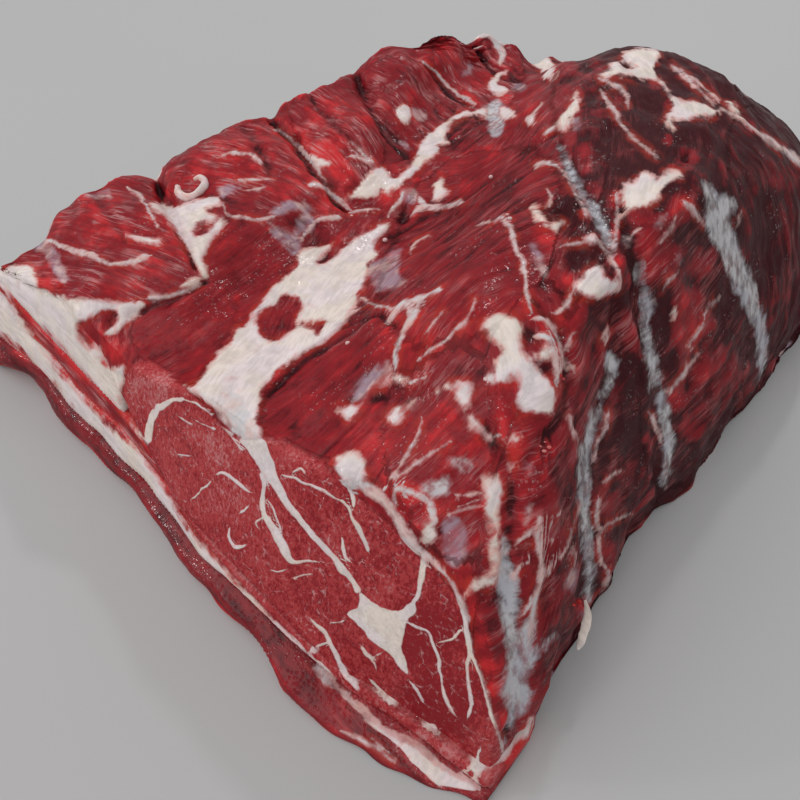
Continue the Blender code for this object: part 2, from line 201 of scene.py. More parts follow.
# Fat on the upper side, in pixels
CHANNEL = (
    (296, 255), (300, 251), (306, 248), (319, 248), (337, 242), (331, 248), (324, 255), (317, 261),
    (314, 265), (321, 267), (330, 263), (337, 254), (344, 246), (355, 240), (369, 231), (381, 224),
    (388, 224), (385, 231), (378, 239), (372, 248), (379, 255), (378, 261), (369, 265), (368, 275),
    (362, 292), (358, 295), (355, 302), (350, 316), (340, 329), (331, 337), (321, 343), (310, 350),
    (303, 354), (276, 375), (262, 390), (258, 412), (262, 440), (250, 436), (240, 425), (215, 408),
    (200, 396), (190, 390), (180, 384), (192, 388), (204, 377), (213, 360), (223, 350), (227, 346),
    (237, 334), (238, 328), (245, 327), (251, 322), (254, 313), (261, 303), (268, 295), (274, 285),
    (282, 281), (288, 274), (295, 268), (299, 264),
)
TOP_PATCHES = (
    CHANNEL,
    ((147, 204), (156, 204), (167, 207), (179, 208), (189, 203), (200, 199), (215, 196), (222, 200),
     (216, 208), (205, 212), (217, 217), (226, 220), (222, 228), (215, 237), (207, 247), (203, 258),
     (206, 268), (208, 279), (203, 281), (199, 276), (199, 269), (192, 262), (188, 252), (182, 239),
     (172, 226), (161, 214)),
    ((123, 233), (135, 236), (150, 238), (162, 239), (162, 246), (150, 245), (138, 243), (130, 238)),
    ((179, 286), (189, 280), (202, 277), (200, 283), (192, 287), (181, 291)),
    ((302, 150), (313, 154), (324, 160), (334, 164), (324, 168), (319, 169), (310, 161)),
    ((346, 198), (353, 193), (361, 181), (368, 176), (374, 171), (379, 167), (386, 169), (389, 176),
     (395, 179), (402, 176), (408, 169), (413, 161), (420, 154), (432, 148), (440, 145), (440, 150),
     (432, 158), (423, 164), (415, 175), (403, 184), (395, 189), (389, 195), (385, 195), (382, 189),
     (375, 196), (369, 200), (360, 198), (350, 200)),
    ((417, 151), (423, 140), (429, 134), (437, 129), (447, 122), (453, 118), (460, 113), (466, 110),
     (472, 113), (478, 110), (486, 108), (488, 113), (486, 119), (478, 115), (470, 116), (463, 118),
     (455, 122), (448, 127), (448, 133), (443, 139), (451, 145), (446, 145), (438, 147), (432, 156),
     (424, 160), (416, 157)),
    ((400, 105), (406, 106), (412, 112), (408, 124), (400, 123), (394, 114)),
    ((500, 107), (510, 108), (516, 113), (515, 118), (508, 120), (503, 121), (499, 114)),
    ((490, 80), (488, 85), (490, 92), (493, 95), (502, 95), (508, 92), (505, 87), (499, 86), (497, 83),
     (501, 77), (509, 71), (499, 72), (495, 77)),
    ((530, 62), (540, 60), (550, 57), (552, 64), (560, 70), (556, 77), (552, 82), (546, 79), (541, 79),
     (543, 73), (537, 69), (533, 66)),
    ((526, 117), (531, 115), (535, 117), (536, 122), (532, 126), (527, 125)),
    ((434, 195), (434, 186), (438, 179), (442, 178), (445, 181), (443, 186), (447, 190), (451, 192),
     (448, 197), (441, 200), (433, 200)),
    ((572, 98), (576, 92), (579, 93), (581, 106), (578, 113), (577, 118), (571, 119), (570, 125),
     (569, 130), (562, 130), (555, 127), (559, 124), (558, 119), (564, 112), (570, 107)),
    ((529, 208), (533, 206), (538, 208), (542, 214), (549, 228), (545, 228), (540, 223), (531, 214)),
    ((552, 223), (558, 221), (564, 222), (560, 228), (557, 234), (553, 231), (550, 229)),
    ((334, 409), (344, 405), (362, 408), (359, 414), (353, 423), (348, 422), (343, 414)),
    ((386, 417), (390, 411), (396, 408), (404, 404), (412, 403), (420, 400), (428, 396), (436, 391),
     (443, 386), (450, 382), (458, 381), (464, 383), (470, 380), (471, 388), (470, 398), (468, 408),
     (466, 411), (461, 407), (457, 399), (453, 391), (448, 388), (440, 392), (430, 397), (420, 402),
     (412, 406), (400, 412), (402, 418), (398, 424), (392, 422)),
    ((467, 419), (470, 415), (474, 419), (478, 425), (482, 430), (488, 441), (483, 439), (478, 434),
     (472, 430), (469, 425)),
    ((500, 435), (508, 434), (518, 432), (524, 437), (517, 442), (513, 448), (507, 445), (503, 440)),
    ((505, 468), (508, 463), (513, 461), (517, 463), (514, 469), (508, 470)),
    ((334, 464), (337, 456), (344, 455), (350, 451), (357, 454), (360, 457), (367, 461), (363, 468),
     (367, 474), (366, 484), (358, 490), (350, 482), (344, 482), (340, 476), (335, 472)),
    ((425, 519), (435, 519), (436, 527), (440, 537), (430, 544), (421, 543), (422, 530)),
    ((596, 78), (602, 74), (613, 70), (606, 64), (618, 62), (622, 60), (621, 54), (635, 50), (645, 48),
     (660, 50), (658, 60), (655, 66), (654, 72), (657, 79), (654, 82), (640, 80), (625, 76), (608, 78)),
    ((671, 97), (677, 99), (682, 103), (690, 102), (698, 104), (707, 106), (714, 109), (720, 112),
     (715, 115), (709, 119), (700, 118), (692, 119), (684, 121), (676, 121), (671, 119), (672, 123),
     (676, 130), (670, 129), (662, 124), (666, 121), (668, 113), (672, 112), (672, 105)),
    ((621, 183), (628, 183), (634, 182), (636, 177), (640, 173), (645, 171), (649, 173), (653, 177),
     (657, 180), (662, 174), (668, 170), (676, 171), (681, 172), (682, 178), (677, 178), (671, 181),
     (668, 187), (662, 190), (660, 195), (658, 200), (652, 203), (645, 206), (638, 208), (631, 210),
     (626, 214), (624, 208), (624, 193), (622, 188)),
    ((573, 288), (575, 284), (584, 279), (582, 276), (586, 272), (592, 268), (597, 264), (601, 268),
     (604, 272), (607, 279), (618, 280), (620, 285), (619, 291), (606, 293), (602, 297), (595, 299),
     (581, 297), (579, 294), (575, 292)),
    ((585, 239), (589, 236), (594, 235), (597, 240), (602, 244), (597, 246), (590, 244)),
    ((480, 326), (483, 321), (487, 320), (491, 316), (495, 314), (503, 314), (510, 316), (515, 318),
     (519, 324), (520, 331), (519, 337), (520, 344), (522, 350), (527, 357), (532, 363), (537, 371),
     (543, 376), (548, 380), (552, 385), (555, 392), (555, 400), (554, 408), (551, 415), (545, 416),
     (538, 413), (530, 412), (523, 413), (519, 409), (517, 402), (516, 395), (519, 389), (520, 381),
     (516, 374), (513, 375), (509, 378), (505, 383), (500, 386), (496, 385), (490, 384), (486, 381),
     (485, 376), (489, 376), (492, 374), (493, 368), (495, 362), (497, 357), (501, 354), (504, 350),
     (502, 347), (497, 344), (492, 339), (487, 334), (483, 330)),
    ((532, 358), (538, 352), (545, 348), (549, 346), (551, 353), (548, 360), (541, 360)),
    ((484, 474), (488, 473), (493, 478), (500, 476), (503, 484), (503, 490), (501, 500), (499, 512),
     (498, 525), (500, 533), (499, 545), (498, 556), (497, 566), (496, 576), (494, 584), (489, 588),
     (480, 590), (472, 592), (464, 600), (462, 594), (470, 584), (476, 577), (484, 576), (489, 575),
     (491, 568), (489, 553), (486, 545), (488, 530), (484, 512), (482, 505), (487, 500), (486, 490),
     (483, 482)),
    ((603, 330), (607, 325), (610, 330), (607, 338), (605, 348), (602, 340)),
    ((670, 310), (675, 306), (679, 307), (677, 314), (673, 322), (671, 318)),
    ((370, 385), (378, 383), (388, 379), (397, 376), (413, 377), (405, 381), (385, 386), (368, 390)),
    ((723, 104), (727, 101), (733, 102), (736, 108), (741, 116), (734, 115)),
)
TOP_SEAMS = (
    route(3, (128, 188), (140, 195), (145, 205), (152, 216), (157, 226)),
    wide((41, 238, 2), (55, 243, 5), (76, 252, 5), (90, 254, 8), (107, 264, 4), (127, 263, 4),
     (147, 257, 8)),
    wide((200, 285, 2), (190, 290, 4), (178, 294, 4), (165, 297, 4), (150, 298, 4)),
    route(3, (220, 157), (228, 153), (241, 152), (252, 155), (258, 160), (261, 164)),
    route(2, (238, 180), (258, 180), (272, 180)),
    route(2.5, (245, 191), (258, 191), (266, 188)),
    route(4, (223, 206), (227, 215), (238, 217), (252, 220), (266, 219), (276, 215)),
    wide((275, 130, 3), (281, 131, 3), (293, 141, 4), (303, 151, 6), (317, 167, 6), (321, 174, 4),
     (326, 182, 2)),
    wide((310, 185, 3), (319, 185, 4), (327, 191, 4), (333, 196, 5), (340, 202, 6), (347, 208, 6)),
    wide((339, 218, 5), (321, 218, 5), (313, 223, 4), (307, 233, 3), (301, 240, 3)),
    route(3, (353, 144), (362, 153), (372, 161)),
    route(2.5, (347, 157), (355, 157), (367, 161)),
    route(3, (350, 213), (362, 210), (379, 210)),
    route(6, (389, 215), (398, 203), (403, 195)),
    wide((419, 200, 5), (424, 205, 6), (431, 208, 7), (440, 207, 6), (450, 206, 5), (458, 204, 5),
     (463, 202, 3)),
    route(6, (412, 215), (417, 209), (424, 209)),
    wide((423, 62, 2), (430, 66, 3), (437, 75, 3), (450, 88, 3), (457, 95, 3), (467, 99, 6), (475, 105, 2)),
    wide((482, 34, 3), (490, 37, 6), (497, 46, 8), (503, 54, 11), (501, 62, 6)),
    route(2, (533, 115), (538, 108), (541, 103)),
    route(3, (556, 127), (550, 130), (545, 134)),
    route(2, (410, 254), (413, 244), (422, 239), (430, 236)),
    route(3, (362, 298), (371, 305), (392, 308)),
    route(2, (341, 322), (351, 313), (361, 308)),
    wide((388, 322, 3), (395, 312, 5), (403, 303, 8), (415, 301, 6), (423, 298, 4), (440, 289, 3)),
    wide((403, 303, 6), (412, 310, 7), (409, 320, 6), (404, 332, 5), (399, 344, 7), (395, 354, 6),
     (396, 368, 4)),
    wide((420, 300, 4), (417, 312, 6), (410, 324, 5)),
    route(2, (443, 312), (436, 320), (431, 328), (425, 336)),
    wide((475, 300, 1), (470, 318, 2), (460, 326, 3), (446, 341, 2.5), (435, 347, 2.5), (420, 359, 2)),
    route(3, (400, 386), (410, 384), (418, 381), (425, 377)),
    route(2.5, (486, 437), (493, 436), (500, 435)),
    wide((396, 489, 6), (403, 488, 8), (411, 493, 8), (421, 497, 8), (430, 503, 9), (434, 520, 10)),
    route(3, (448, 515), (458, 511), (470, 508), (481, 506)),
    route(2, (457, 494), (470, 494), (481, 493)),
    route(2.5, (395, 478), (415, 465), (430, 455), (447, 443)),
    route(3, (421, 422), (418, 433), (411, 446), (404, 459), (390, 480)),
    route(2.5, (478, 227), (485, 224), (495, 221), (503, 219), (510, 219)),
    wide((504, 222, 3), (510, 224, 6), (513, 232, 6), (514, 248, 5), (523, 258, 4), (524, 273, 3)),
    route(3, (524, 273), (526, 289), (529, 303), (533, 318)),
    wide((600, 80, 2), (608, 82, 4), (615, 86, 6), (622, 90, 6), (627, 97, 5), (628, 105, 2)),
    wide((600, 92, 3), (606, 99, 4), (611, 107, 6), (615, 114, 6), (625, 130, 4), (640, 144, 2.5),
     (657, 157, 2)),
    wide((657, 80, 2), (662, 83, 3), (666, 90, 4), (670, 97, 4), (675, 101, 4)),
    route(2.5, (671, 65), (680, 73), (690, 83), (700, 92), (708, 100), (714, 106)),
    route(2, (680, 71), (695, 80), (710, 93), (718, 102)),
    wide((720, 110, 3), (740, 117, 4), (753, 129, 5), (763, 136, 8), (778, 146, 9), (793, 158, 10),
     (806, 168, 10)),
    route(4, (535, 167), (541, 164), (548, 163), (555, 165), (560, 168)),
    route(3, (560, 168), (566, 177), (571, 186), (577, 197), (583, 208), (588, 218)),
    route(3, (548, 190), (551, 195), (549, 204)),
    route(3, (560, 247), (572, 244), (585, 241)),
    route(4, (597, 240), (603, 248), (609, 256), (614, 264), (618, 272), (620, 280)),
    route(3, (574, 288), (570, 300), (564, 308), (556, 314)),
    route(4, (617, 196), (617, 220), (616, 240), (614, 250)),
    route(3, (630, 236), (636, 231), (642, 228)),
    route(5, (676, 216), (672, 226), (668, 234), (662, 242)),
    route(5, (683, 203), (690, 206), (695, 212), (700, 220), (704, 226)),
    route(3, (740, 212), (739, 220), (737, 226)),
    route(4, (704, 314), (711, 304), (720, 296)),
    wide((533, 320, 5), (540, 318, 5), (548, 322, 4), (554, 329, 3), (558, 338, 3), (562, 352, 3),
     (562, 365, 4)),
    wide((537, 336, 3), (544, 335, 3), (549, 340, 3), (552, 347, 4), (554, 358, 7), (557, 368, 6),
     (557, 385, 4)),
    route(4, (568, 345), (570, 338), (574, 333)),
    route(2, (563, 356), (568, 364), (574, 372)),
    route(4, (569, 416), (570, 426), (574, 434), (577, 442)),
    route(4, (608, 412), (606, 424), (600, 436), (594, 448), (593, 462)),
    wide((599, 498, 2), (596, 508, 5), (596, 518, 5), (599, 535, 4), (600, 562, 4), (606, 567, 4),
     (609, 575, 5)),
    wide((609, 575, 5), (605, 588, 4), (597, 599, 3)),
    route(4, (604, 482), (612, 475), (620, 470)),
    route(3, (600, 532), (608, 524), (618, 518), (632, 514)),
    wide((540, 525, 6), (537, 535, 5), (537, 545, 5), (539, 556, 5), (542, 564, 6)),
    route(3, (537, 546), (544, 541), (552, 539)),
    wide((544, 568, 8), (541, 578, 7), (538, 588, 6), (534, 600, 6), (532, 612, 5), (531, 626, 6),
     (528, 640, 7)),
    wide((541, 575, 5), (548, 565, 6), (558, 560, 4), (565, 550, 3), (570, 535, 3), (580, 505, 1.5)),
    route(3, (512, 549), (520, 540), (530, 533), (536, 526)),
    route(4, (512, 580), (518, 570), (524, 564), (531, 560)),
    route(3, (521, 616), (526, 608), (531, 605)),
    route(3, (540, 518), (552, 516), (562, 512)),
    route(4, (573, 548), (575, 556), (573, 566)),
    route(4, (532, 715), (528, 722), (526, 732), (524, 744)),
    route(2.5, (688, 348), (694, 336), (700, 328), (706, 320)),
    route(4, (668, 392), (674, 384), (684, 372), (690, 364), (699, 352)),
    route(3, (662, 290), (666, 284), (672, 277), (678, 272)),
    wide((650, 415, 4), (653, 422, 6), (656, 428, 5), (660, 440, 5)),
)
LEAN_ISLANDS = (
    ((254, 323), (257, 315), (266, 310), (278, 303), (282, 296), (290, 294), (298, 299), (303, 305),
     (302, 312), (299, 316), (295, 322), (296, 327), (290, 333), (285, 339), (274, 343), (262, 337)),
    ((298, 323), (310, 322), (327, 320), (320, 334), (316, 333), (307, 327)),
    ((192, 235), (196, 228), (208, 221), (216, 221), (213, 228), (205, 236), (197, 237)),
    ((618, 63), (625, 64), (632, 66), (637, 68), (630, 70), (622, 68)),
    ((98, 312), (108, 310), (117, 312), (119, 318), (111, 327), (102, 333), (94, 330), (88, 322)),
)

# Silverskin, and the thin lilac membranes, in pixels
SILVER = (
    ((702, 182), (706, 192), (708, 200), (708, 212), (704, 222), (708, 232), (714, 242), (720, 252),
     (724, 262), (729, 273), (733, 284), (739, 296), (744, 306), (750, 316), (755, 328), (757, 342),
     (759, 356), (759, 372), (757, 384), (764, 366), (768, 346), (766, 332), (764, 318), (761, 306),
     (757, 294), (753, 282), (748, 268), (742, 256), (738, 244), (733, 232), (729, 222), (731, 210),
     (737, 203), (730, 196), (718, 195), (712, 192), (706, 187)),
    ((500, 534), (503, 532), (506, 538), (509, 558), (512, 572), (517, 582), (519, 590), (517, 598),
     (520, 614), (515, 628), (520, 630), (526, 621), (532, 616), (534, 624), (531, 636), (529, 655),
     (536, 652), (545, 643), (557, 630), (552, 640), (540, 651), (533, 660), (527, 676), (525, 684),
     (530, 690), (534, 692), (531, 700), (524, 714), (520, 708), (514, 724), (507, 740), (503, 752),
     (505, 738), (509, 714), (509, 692), (501, 700), (505, 686), (506, 662), (508, 650), (508, 640),
     (505, 630), (500, 610), (499, 586), (497, 560)),
    ((486, 108), (490, 104), (496, 100), (500, 101), (500, 110), (504, 118), (504, 127), (501, 133),
     (496, 139), (493, 137), (490, 130), (489, 122), (486, 117)),
    ((417, 489), (422, 483), (430, 482), (440, 482), (450, 480), (448, 487), (444, 493), (438, 498),
     (430, 497), (423, 493)),
    ((605, 352), (612, 354), (617, 360), (616, 370), (611, 374), (606, 368)),
)
SILVER_LINES = (
    wide((560, 145, 2), (563, 152, 4), (568, 168, 7), (576, 185, 6), (587, 200, 7), (599, 218, 9),
     (608, 240, 9)),
    wide((608, 240, 9), (614, 252, 4)),
    wide((619, 358, 3), (612, 372, 4), (606, 388, 4), (600, 402, 5), (595, 416, 6), (590, 432, 8),
     (584, 450, 10)),
    wide((584, 450, 10), (584, 470, 9), (585, 490, 10), (584, 515, 10), (588, 540, 9), (590, 560, 7),
     (587, 600, 7)),
    wide((450, 463, 3), (457, 462, 5), (464, 465, 5), (470, 468, 3)),
    wide((638, 262, 5), (640, 276, 7), (645, 290, 6), (651, 303, 6), (650, 313, 4)),
    wide((640, 296, 3), (643, 308, 4), (645, 332, 6), (650, 358, 8), (658, 386, 10), (663, 410, 12),
     (668, 440, 10)),
    wide((668, 440, 10), (668, 452, 9), (667, 464, 8), (665, 474, 7), (662, 485, 3)),
    route(5, (783, 150), (789, 155), (795, 160)),
)
LILAC = (
    ((266, 215), (276, 208), (285, 202), (296, 200), (307, 205), (312, 208), (307, 212), (310, 217),
     (316, 220), (313, 229), (306, 233), (299, 234), (296, 229), (299, 220), (303, 212), (293, 209),
     (286, 213), (276, 216)),
    ((265, 229), (274, 224), (281, 231), (290, 234), (298, 231), (299, 241), (296, 257), (290, 254),
     (285, 246), (276, 239)),
    ((368, 265), (377, 261), (384, 257), (395, 250), (406, 246), (399, 253), (402, 257), (395, 267),
     (403, 274), (405, 284), (395, 288), (386, 288), (379, 292), (374, 284), (369, 275)),
    ((350, 402), (356, 388), (365, 378), (378, 369), (395, 362), (394, 372), (385, 376), (378, 386),
     (366, 392), (358, 402)),
    ((440, 520), (460, 513), (467, 545), (460, 569), (445, 560)),
    ((33, 245), (38, 236), (48, 240), (56, 250), (62, 262), (67, 275), (66, 284), (60, 281), (54, 266),
     (46, 257), (38, 250)),
    ((83, 192), (96, 183), (103, 188), (110, 193), (112, 197), (105, 197), (97, 197), (88, 196)),
    ((220, 182), (233, 183), (243, 188), (236, 192), (228, 194), (220, 200)),
    ((148, 294), (158, 293), (164, 297), (160, 301), (151, 301)),
    ((402, 190), (410, 187), (417, 192), (416, 204), (408, 205), (401, 199)),
    ((462, 71), (467, 68), (470, 60), (473, 67), (469, 75), (464, 76)),
    ((412, 108), (420, 107), (431, 117), (424, 121), (414, 118)),
    ((512, 84), (524, 83), (526, 90), (518, 92), (511, 89)),
    ((571, 117), (577, 116), (579, 126), (572, 128)),
    ((622, 234), (630, 234), (631, 242), (629, 250), (623, 242)),
    ((655, 226), (660, 216), (668, 212), (664, 222), (657, 228)),
    ((674, 262), (678, 256), (685, 257), (682, 262), (676, 266)),
    ((526, 458), (524, 464), (530, 470), (532, 476), (537, 470), (534, 466), (530, 462)),
    ((524, 521), (526, 514), (531, 504), (532, 511), (527, 521)),
    ((566, 575), (570, 568), (577, 566), (578, 576), (572, 592), (567, 590)),
    ((578, 616), (582, 609), (587, 609), (583, 618)),
)
LILAC_LINES = (
    wide((353, 144, 3), (362, 153, 4), (372, 161, 3)),
    route(3, (400, 141), (404, 144), (408, 148)),
    route(6, (758, 310), (764, 330), (764, 350), (762, 364)),
    route(4, (467, 84), (471, 90)),
    route(3, (533, 245), (540, 262), (545, 275)),
)

# Muscles with the way their fibres run: outline, from, to, bend of the fibres, amount of pale streaks
FIBRES = (
    (((0, 160), (160, 175), (208, 262), (206, 279), (145, 306), (60, 300), (0, 270)), (60, 232), (170, 252),
     1.5, 0.8),
    (((156, 182), (182, 140), (271, 112), (345, 205), (300, 240), (215, 270), (200, 215)), (190, 165),
     (300, 190), 2.0, 0.9),
    (((204, 270), (215, 215), (270, 205), (300, 255), (262, 312), (235, 330), (204, 300)), (292, 228),
     (215, 296), 2.0, 0.15),
    (((135, 312), (206, 279), (240, 300), (222, 348), (190, 390), (150, 372), (126, 340)), (238, 296),
     (150, 372), 2.0, 0.15),
    (((271, 110), (345, 75), (400, 150), (345, 205)), (285, 120), (372, 168), 2.0, 0.9),
    (((345, 72), (415, 50), (470, 108), (405, 165), (372, 120)), (362, 80), (440, 128), 2.0, 0.9),
    (((423, 25), (535, 45), (505, 125), (445, 108)), (440, 50), (505, 100), 2.0, 1.0),
    (((370, 330), (390, 240), (430, 160), (560, 140), (560, 250), (520, 320), (440, 350)), (405, 315),
     (545, 190), 5.0, 0.3),
    (((262, 440), (262, 392), (342, 326), (372, 300), (400, 330), (390, 480), (345, 480)), (285, 420),
     (385, 318), 2.0, 0.1),
    (((380, 480), (380, 400), (440, 350), (490, 340), (495, 480), (490, 560), (440, 560)), (478, 395),
     (392, 492), 3.0, 0.5),
    (((480, 340), (560, 260), (575, 400), (545, 470), (495, 460)), (505, 300), (540, 440), 1.0, 0.2),
    (((490, 460), (600, 250), (640, 260), (640, 560), (500, 800), (470, 650)), (572, 500), (524, 560), 2.0,
     0.6),
    (((584, 430), (640, 380), (690, 440), (600, 620), (590, 560)), (632, 505), (604, 532), 2.0, 0.55),
    (((535, 620), (600, 590), (560, 720), (505, 800)), (575, 612), (540, 655), 2.0, 0.6),
    (((600, 200), (700, 160), (770, 380), (640, 540), (640, 260)), (722, 222), (640, 350), 2.0, 0.7),
    (((560, 40), (740, 60), (760, 180), (600, 250), (550, 130)), (592, 84), (668, 196), 3.0, 0.25),
    (((730, 90), (860, 120), (860, 360), (770, 380), (730, 200)), (752, 140), (790, 320), 1.0, 0.25),
)
STRIP_FIBRES = ((None, (30, 322), (118, 420), 0.0, 1.0),)
LAYER_FIBRES = {
    "upper_fat": STRIP_FIBRES,
    "streak_muscle": STRIP_FIBRES,
    "fat_layer": STRIP_FIBRES,
    "under_muscle": ((None, (70, 418), (250, 640), 0.0, 0.35),),
}

# Hidden parts of the layers: usual distance to fat in millimetres, less than 0 in fat
LAYER_FAT = {"upper_fat": -2.0, "streak_muscle": 3.0, "fat_layer": -2.0, "under_muscle": 7.0}
LOOSE_END_PX = 320.0

# Broad patches of a lighter (above 0) or darker tone: place and radius in pixels, tone
TONES = (
    (75, 235, 40, 0.1), (115, 215, 40, 0.15), (150, 240, 30, 0.25), (42, 275, 20, 1.05),
    (120, 186, 18, 0.0), (135, 200, 10, -0.5), (158, 232, 10, -0.4), (110, 280, 30, 0.4),
    (172, 182, 14, 0.6), (230, 142, 28, 0.1), (265, 178, 28, 0.35), (215, 165, 22, 0.3),
    (300, 182, 22, 0.5), (300, 212, 14, -0.35), (325, 208, 12, 1.1), (255, 252, 34, 0.0),
    (222, 285, 22, 0.05), (240, 300, 14, 0.4), (185, 330, 30, 0.2), (238, 325, 14, 0.45),
    (155, 330, 24, 0.15), (205, 365, 22, 0.25), (112, 350, 12, 0.7), (320, 108, 26, 0.0),
    (328, 150, 16, 1.1), (345, 170, 14, 1.1), (300, 138, 16, 0.45), (380, 130, 12, -0.6),
    (398, 145, 12, -0.6), (388, 78, 22, -0.25), (410, 103, 18, 0.25), (385, 197, 8, 1.3),
    (380, 112, 18, 0.55), (430, 55, 14, 0.35), (448, 58, 20, 0.1), (478, 72, 16, 0.45),
    (440, 82, 14, 0.0), (470, 88, 12, 0.45), (505, 40, 16, 0.25), (520, 52, 10, -0.4), (482, 60, 8, -0.4),
    (505, 97, 9, 1.1), (460, 130, 16, -0.65), (475, 122, 12, -0.75), (492, 150, 8, 0.6),
    (535, 108, 12, 0.75), (520, 80, 14, -0.75), (532, 92, 14, 0.1), (560, 105, 18, -0.4),
    (590, 75, 22, -0.8), (570, 65, 10, 0.0), (645, 118, 30, -1.6), (655, 85, 8, 0.2), (668, 105, 7, 0.5),
    (602, 150, 30, -1.0), (610, 110, 16, -0.5), (618, 100, 7, 0.2), (700, 78, 28, -1.3),
    (735, 105, 20, -0.9), (562, 212, 18, -1.4), (575, 255, 16, -1.4), (545, 195, 16, -0.3),
    (530, 180, 12, 0.35), (732, 150, 34, -0.75), (768, 185, 34, -0.95), (792, 240, 36, -1.05),
    (775, 300, 34, -0.85), (750, 130, 10, -0.3), (690, 152, 12, -0.3), (668, 140, 7, 0.5),
    (685, 160, 10, -0.1), (672, 170, 8, 0.6), (600, 190, 14, -0.7), (640, 225, 20, -0.35),
    (680, 210, 16, 0.4), (662, 262, 24, 0.8), (700, 262, 20, 0.4), (688, 300, 16, 1.1),
    (692, 332, 24, 0.8), (709, 326, 9, 0.9), (630, 330, 18, -0.3), (632, 280, 10, -0.5),
    (648, 270, 9, 0.2), (722, 372, 30, -0.1), (700, 380, 16, 0.3), (735, 260, 14, -0.45),
    (562, 470, 22, -0.6), (540, 490, 14, -0.1), (550, 540, 16, 0.2), (575, 520, 12, -0.9),
    (620, 470, 20, -0.45), (640, 480, 16, -0.9), (645, 520, 20, -0.6), (630, 545, 12, -0.9),
    (600, 400, 24, -0.6), (590, 350, 24, -0.4), (620, 360, 8, -1.1), (610, 500, 16, 0.1),
    (605, 550, 10, 0.6), (560, 590, 20, -0.6), (540, 640, 14, -0.2), (545, 670, 16, -1.0),
    (570, 640, 14, -1.1), (560, 700, 24, -0.85), (540, 720, 12, -0.5), (690, 430, 14, 0.5),
    (700, 400, 24, -0.4), (430, 280, 30, -0.25), (500, 190, 32, -0.65), (450, 230, 30, -0.55),
    (520, 250, 22, -0.5), (430, 165, 14, 0.1), (462, 165, 12, 0.2), (465, 188, 10, 0.9),
    (420, 185, 8, 0.5), (490, 165, 14, -0.1), (480, 282, 24, -0.25), (540, 150, 20, -0.3),
    (570, 138, 9, 0.6), (400, 330, 24, 0.45), (425, 350, 24, 0.6), (360, 340, 26, 0.0),
    (310, 390, 32, -0.15), (350, 300, 10, 0.5), (302, 428, 20, -0.15), (340, 430, 20, 0.15),
    (380, 440, 24, 0.75), (430, 430, 26, 0.75), (450, 470, 24, 0.65), (412, 505, 22, 0.7),
    (370, 400, 12, 0.8), (470, 440, 12, 0.35), (458, 540, 18, 0.1), (495, 395, 14, 0.7),
    (512, 385, 8, 1.1), (508, 418, 12, 1.1), (505, 455, 8, 1.1), (508, 475, 6, 1.2), (522, 450, 14, 0.35),
    (545, 445, 8, 0.9), (540, 330, 7, 0.9), (556, 350, 7, 1.1), (470, 330, 22, 0.45), (490, 340, 12, 0.6),
    (530, 335, 12, -0.5), (545, 368, 8, -0.5), (562, 320, 20, 0.05), (568, 280, 8, 1.2),
    (545, 236, 13, 1.25), (540, 290, 14, -0.2), (584, 150, 7, 1.2), (588, 168, 5, 1.0), (618, 200, 8, 0.9),
    (616, 230, 6, 1.2), (615, 260, 8, 0.8), (612, 330, 7, 0.3), (636, 325, 7, 0.5), (637, 350, 6, 0.4),
    (677, 398, 12, 1.0), (650, 440, 8, 0.6), (581, 603, 7, 1.1), (420, 738, 10, 0.9), (450, 750, 10, 0.9),
    (476, 610, 9, 1.2), (480, 640, 9, 1.1), (486, 665, 9, 1.1), (494, 690, 8, 1.2), (501, 718, 7, 1.1),
    (492, 625, 7, -0.9), (496, 650, 6, -0.6), (505, 660, 5, 0.4), (152, 388, 22, 0.9),
    (340, 500, 24, -0.15), (430, 640, 34, -1.15), (450, 700, 34, -1.2), (300, 470, 24, 0.4),
    (340, 540, 26, 0.4), (220, 450, 26, 0.45), (230, 495, 26, 0.4), (270, 545, 26, 0.35),
    (470, 770, 14, -0.1), (775, 366, 8, 0.5),
)
CUT_OUTLINE = (
    (140, 428), (121, 400), (127, 372), (140, 358), (160, 365), (176, 380), (200, 400), (232, 440),
    (263, 438), (290, 441), (305, 450), (318, 457), (334, 471), (345, 483), (362, 500), (396, 530),
    (430, 566), (452, 590), (466, 610), (474, 652), (486, 690), (503, 746), (500, 800), (440, 800),
    (366, 722), (321, 666), (241, 585), (180, 513),
)

